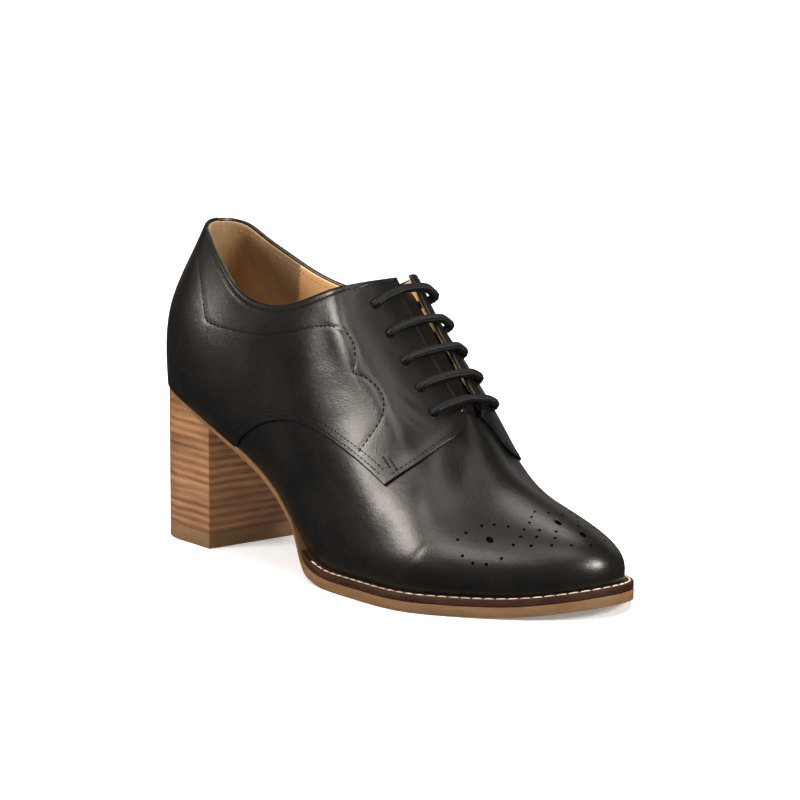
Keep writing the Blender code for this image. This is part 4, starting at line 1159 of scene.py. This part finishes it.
ring = np.linspace(0.0, 2.0 * math.pi, LACE_ROUND)
twist = at[:, None] * (2.0 * math.pi / LAY)
braid = np.cos(STRANDS * ring[None, :] + twist) * np.cos(STRANDS * ring[None, :] - twist)
radius = LACE_RADIUS * (0.96 + 0.13 * braid)
tube = (path[:, None, :] + frame_up[:, None, :] * (radius * np.cos(ring)[None, :])[:, :, None]
        + frame_side[:, None, :] * (radius * np.sin(ring)[None, :])[:, :, None])
work = skin(tube)
lace_black, tree, shader, where = mottled(
    "lace_black", (0.006, 0.0056, 0.0053), 0.46, (700.0, 3.0),
    ((0.3, (0.002, 0.0018, 0.0017)), (0.75, (0.007, 0.0064, 0.0060))), (2400.0, 2.0), 0.00015)
shader.inputs["Specular IOR Level"].default_value = 0.32
finish_piece("laces", work, lace_black, "laces", 9.0)

# Studio. A pale seamless floor under warm soft boxes: along the outer side, at the shoulder, ahead of the
# toe, two overhead and a panel behind. A broad sun lights floor and lining. The camera stands where it
# was fitted to the photo.
floor_work = bmesh.new()
bmesh.ops.create_grid(floor_work, x_segments=1, y_segments=1, size=6.0)
floor_mesh = bpy.data.meshes.new("floor")
floor_work.to_mesh(floor_mesh)
floor_work.free()
floor_white, tree, shader, where = surface_material("floor_white", (0.91, 0.93, 0.96), 0.9)
shader.inputs["Specular IOR Level"].default_value = 0.1
shader.inputs["Emission Color"].default_value = (1.0, 1.0, 1.0, 1.0)
shader.inputs["Emission Strength"].default_value = 0.26
floor_mesh.materials.append(floor_white)
floor = bpy.data.objects.new("floor", floor_mesh)
bpy.context.scene.collection.objects.link(floor)
floor.visible_glossy = False

world = bpy.data.worlds.new("studio")
world.use_nodes = True
world.node_tree.nodes["Background"].inputs["Color"].default_value = (1.0, 1.0, 1.0, 1.0)
world.node_tree.nodes["Background"].inputs["Strength"].default_value = 0.035
bpy.context.scene.world = world


def aimed(name, light, spot, aim):
    """Lamp at a place, turned to a point."""
    lamp = bpy.data.objects.new(name, light)
    lamp.location = spot
    lamp.rotation_euler = (Vector(aim) - Vector(spot)).to_track_quat("-Z", "Y").to_euler()
    bpy.context.scene.collection.objects.link(lamp)
    return lamp


def soft_box(name, spot, aim, size, power):
    """Rectangular soft light aimed at a point."""
    light = bpy.data.lights.new(name, "AREA")
    light.shape = "RECTANGLE"
    light.size, light.size_y = size
    light.energy = power
    light.color = (1.0, 0.95, 0.88)
    aimed(name, light, spot, aim).visible_camera = False


ceiling = bpy.data.lights.new("ceiling", "SUN")
ceiling.angle = math.radians(48.0)
ceiling.energy = 3.7
aimed("ceiling", ceiling, (-0.5, 0.6, 2.0), (0.0, 0.0, 0.0)).visible_glossy = False
soft_box("side_box", (-0.54, -1.11, 0.72), (0.0, 0.0, 0.06), (0.60, 0.52), 18.5)
soft_box("shoulder_box", (0.29, -0.89, 1.10), (0.05, 0.0, 0.03), (0.5, 0.5), 5.5)
soft_box("front_box", (1.21, 0.39, 0.65), (0.09, 0.0, 0.03), (0.42, 0.36), 19.0)
soft_box("top_box", (0.45, -0.12, 1.20), (0.02, 0.0, 0.0), (0.65, 0.55), 2.7)
soft_box("ridge_box", (-0.26, 0.58, 1.31), (0.02, 0.0, 0.0), (0.4, 0.4), 3.0)
soft_box("back_panel", (-1.80, 1.70, 0.55), (0.0, 0.0, 0.1), (3.0, 1.0), 2.0)

# degrees round from the outer side and down, metres away, the point aimed at, focal length in picture widths
CAMERA_TURN = 47.0
CAMERA_DOWN = 11.0
CAMERA_AWAY = 2.0
CAMERA_AIM = (120.0, 0.0, 55.0)
FOCAL_WIDTHS = 5240.0 / 800.0
turn = math.radians(CAMERA_TURN)
rise = math.radians(CAMERA_DOWN)
back = Vector((math.sin(turn) * math.cos(rise), -math.cos(turn) * math.cos(rise), math.sin(rise)))
right = Vector((math.cos(turn), math.sin(turn), 0.0))
up = back.cross(right)
camera_data = bpy.data.cameras.new("camera")
camera_data.sensor_width = 36.0
camera_data.lens = FOCAL_WIDTHS * camera_data.sensor_width
camera_data.shift_x = 0.011875
camera_data.shift_y = 0.035
camera = bpy.data.objects.new("camera", camera_data)
pose = Matrix((right, up, back)).transposed().to_4x4()
pose.translation = Vector(metres(CAMERA_AIM)) + back * CAMERA_AWAY
camera.matrix_world = pose
bpy.context.scene.collection.objects.link(camera)
bpy.context.scene.camera = camera
bpy.context.scene.view_settings.view_transform = "Standard"
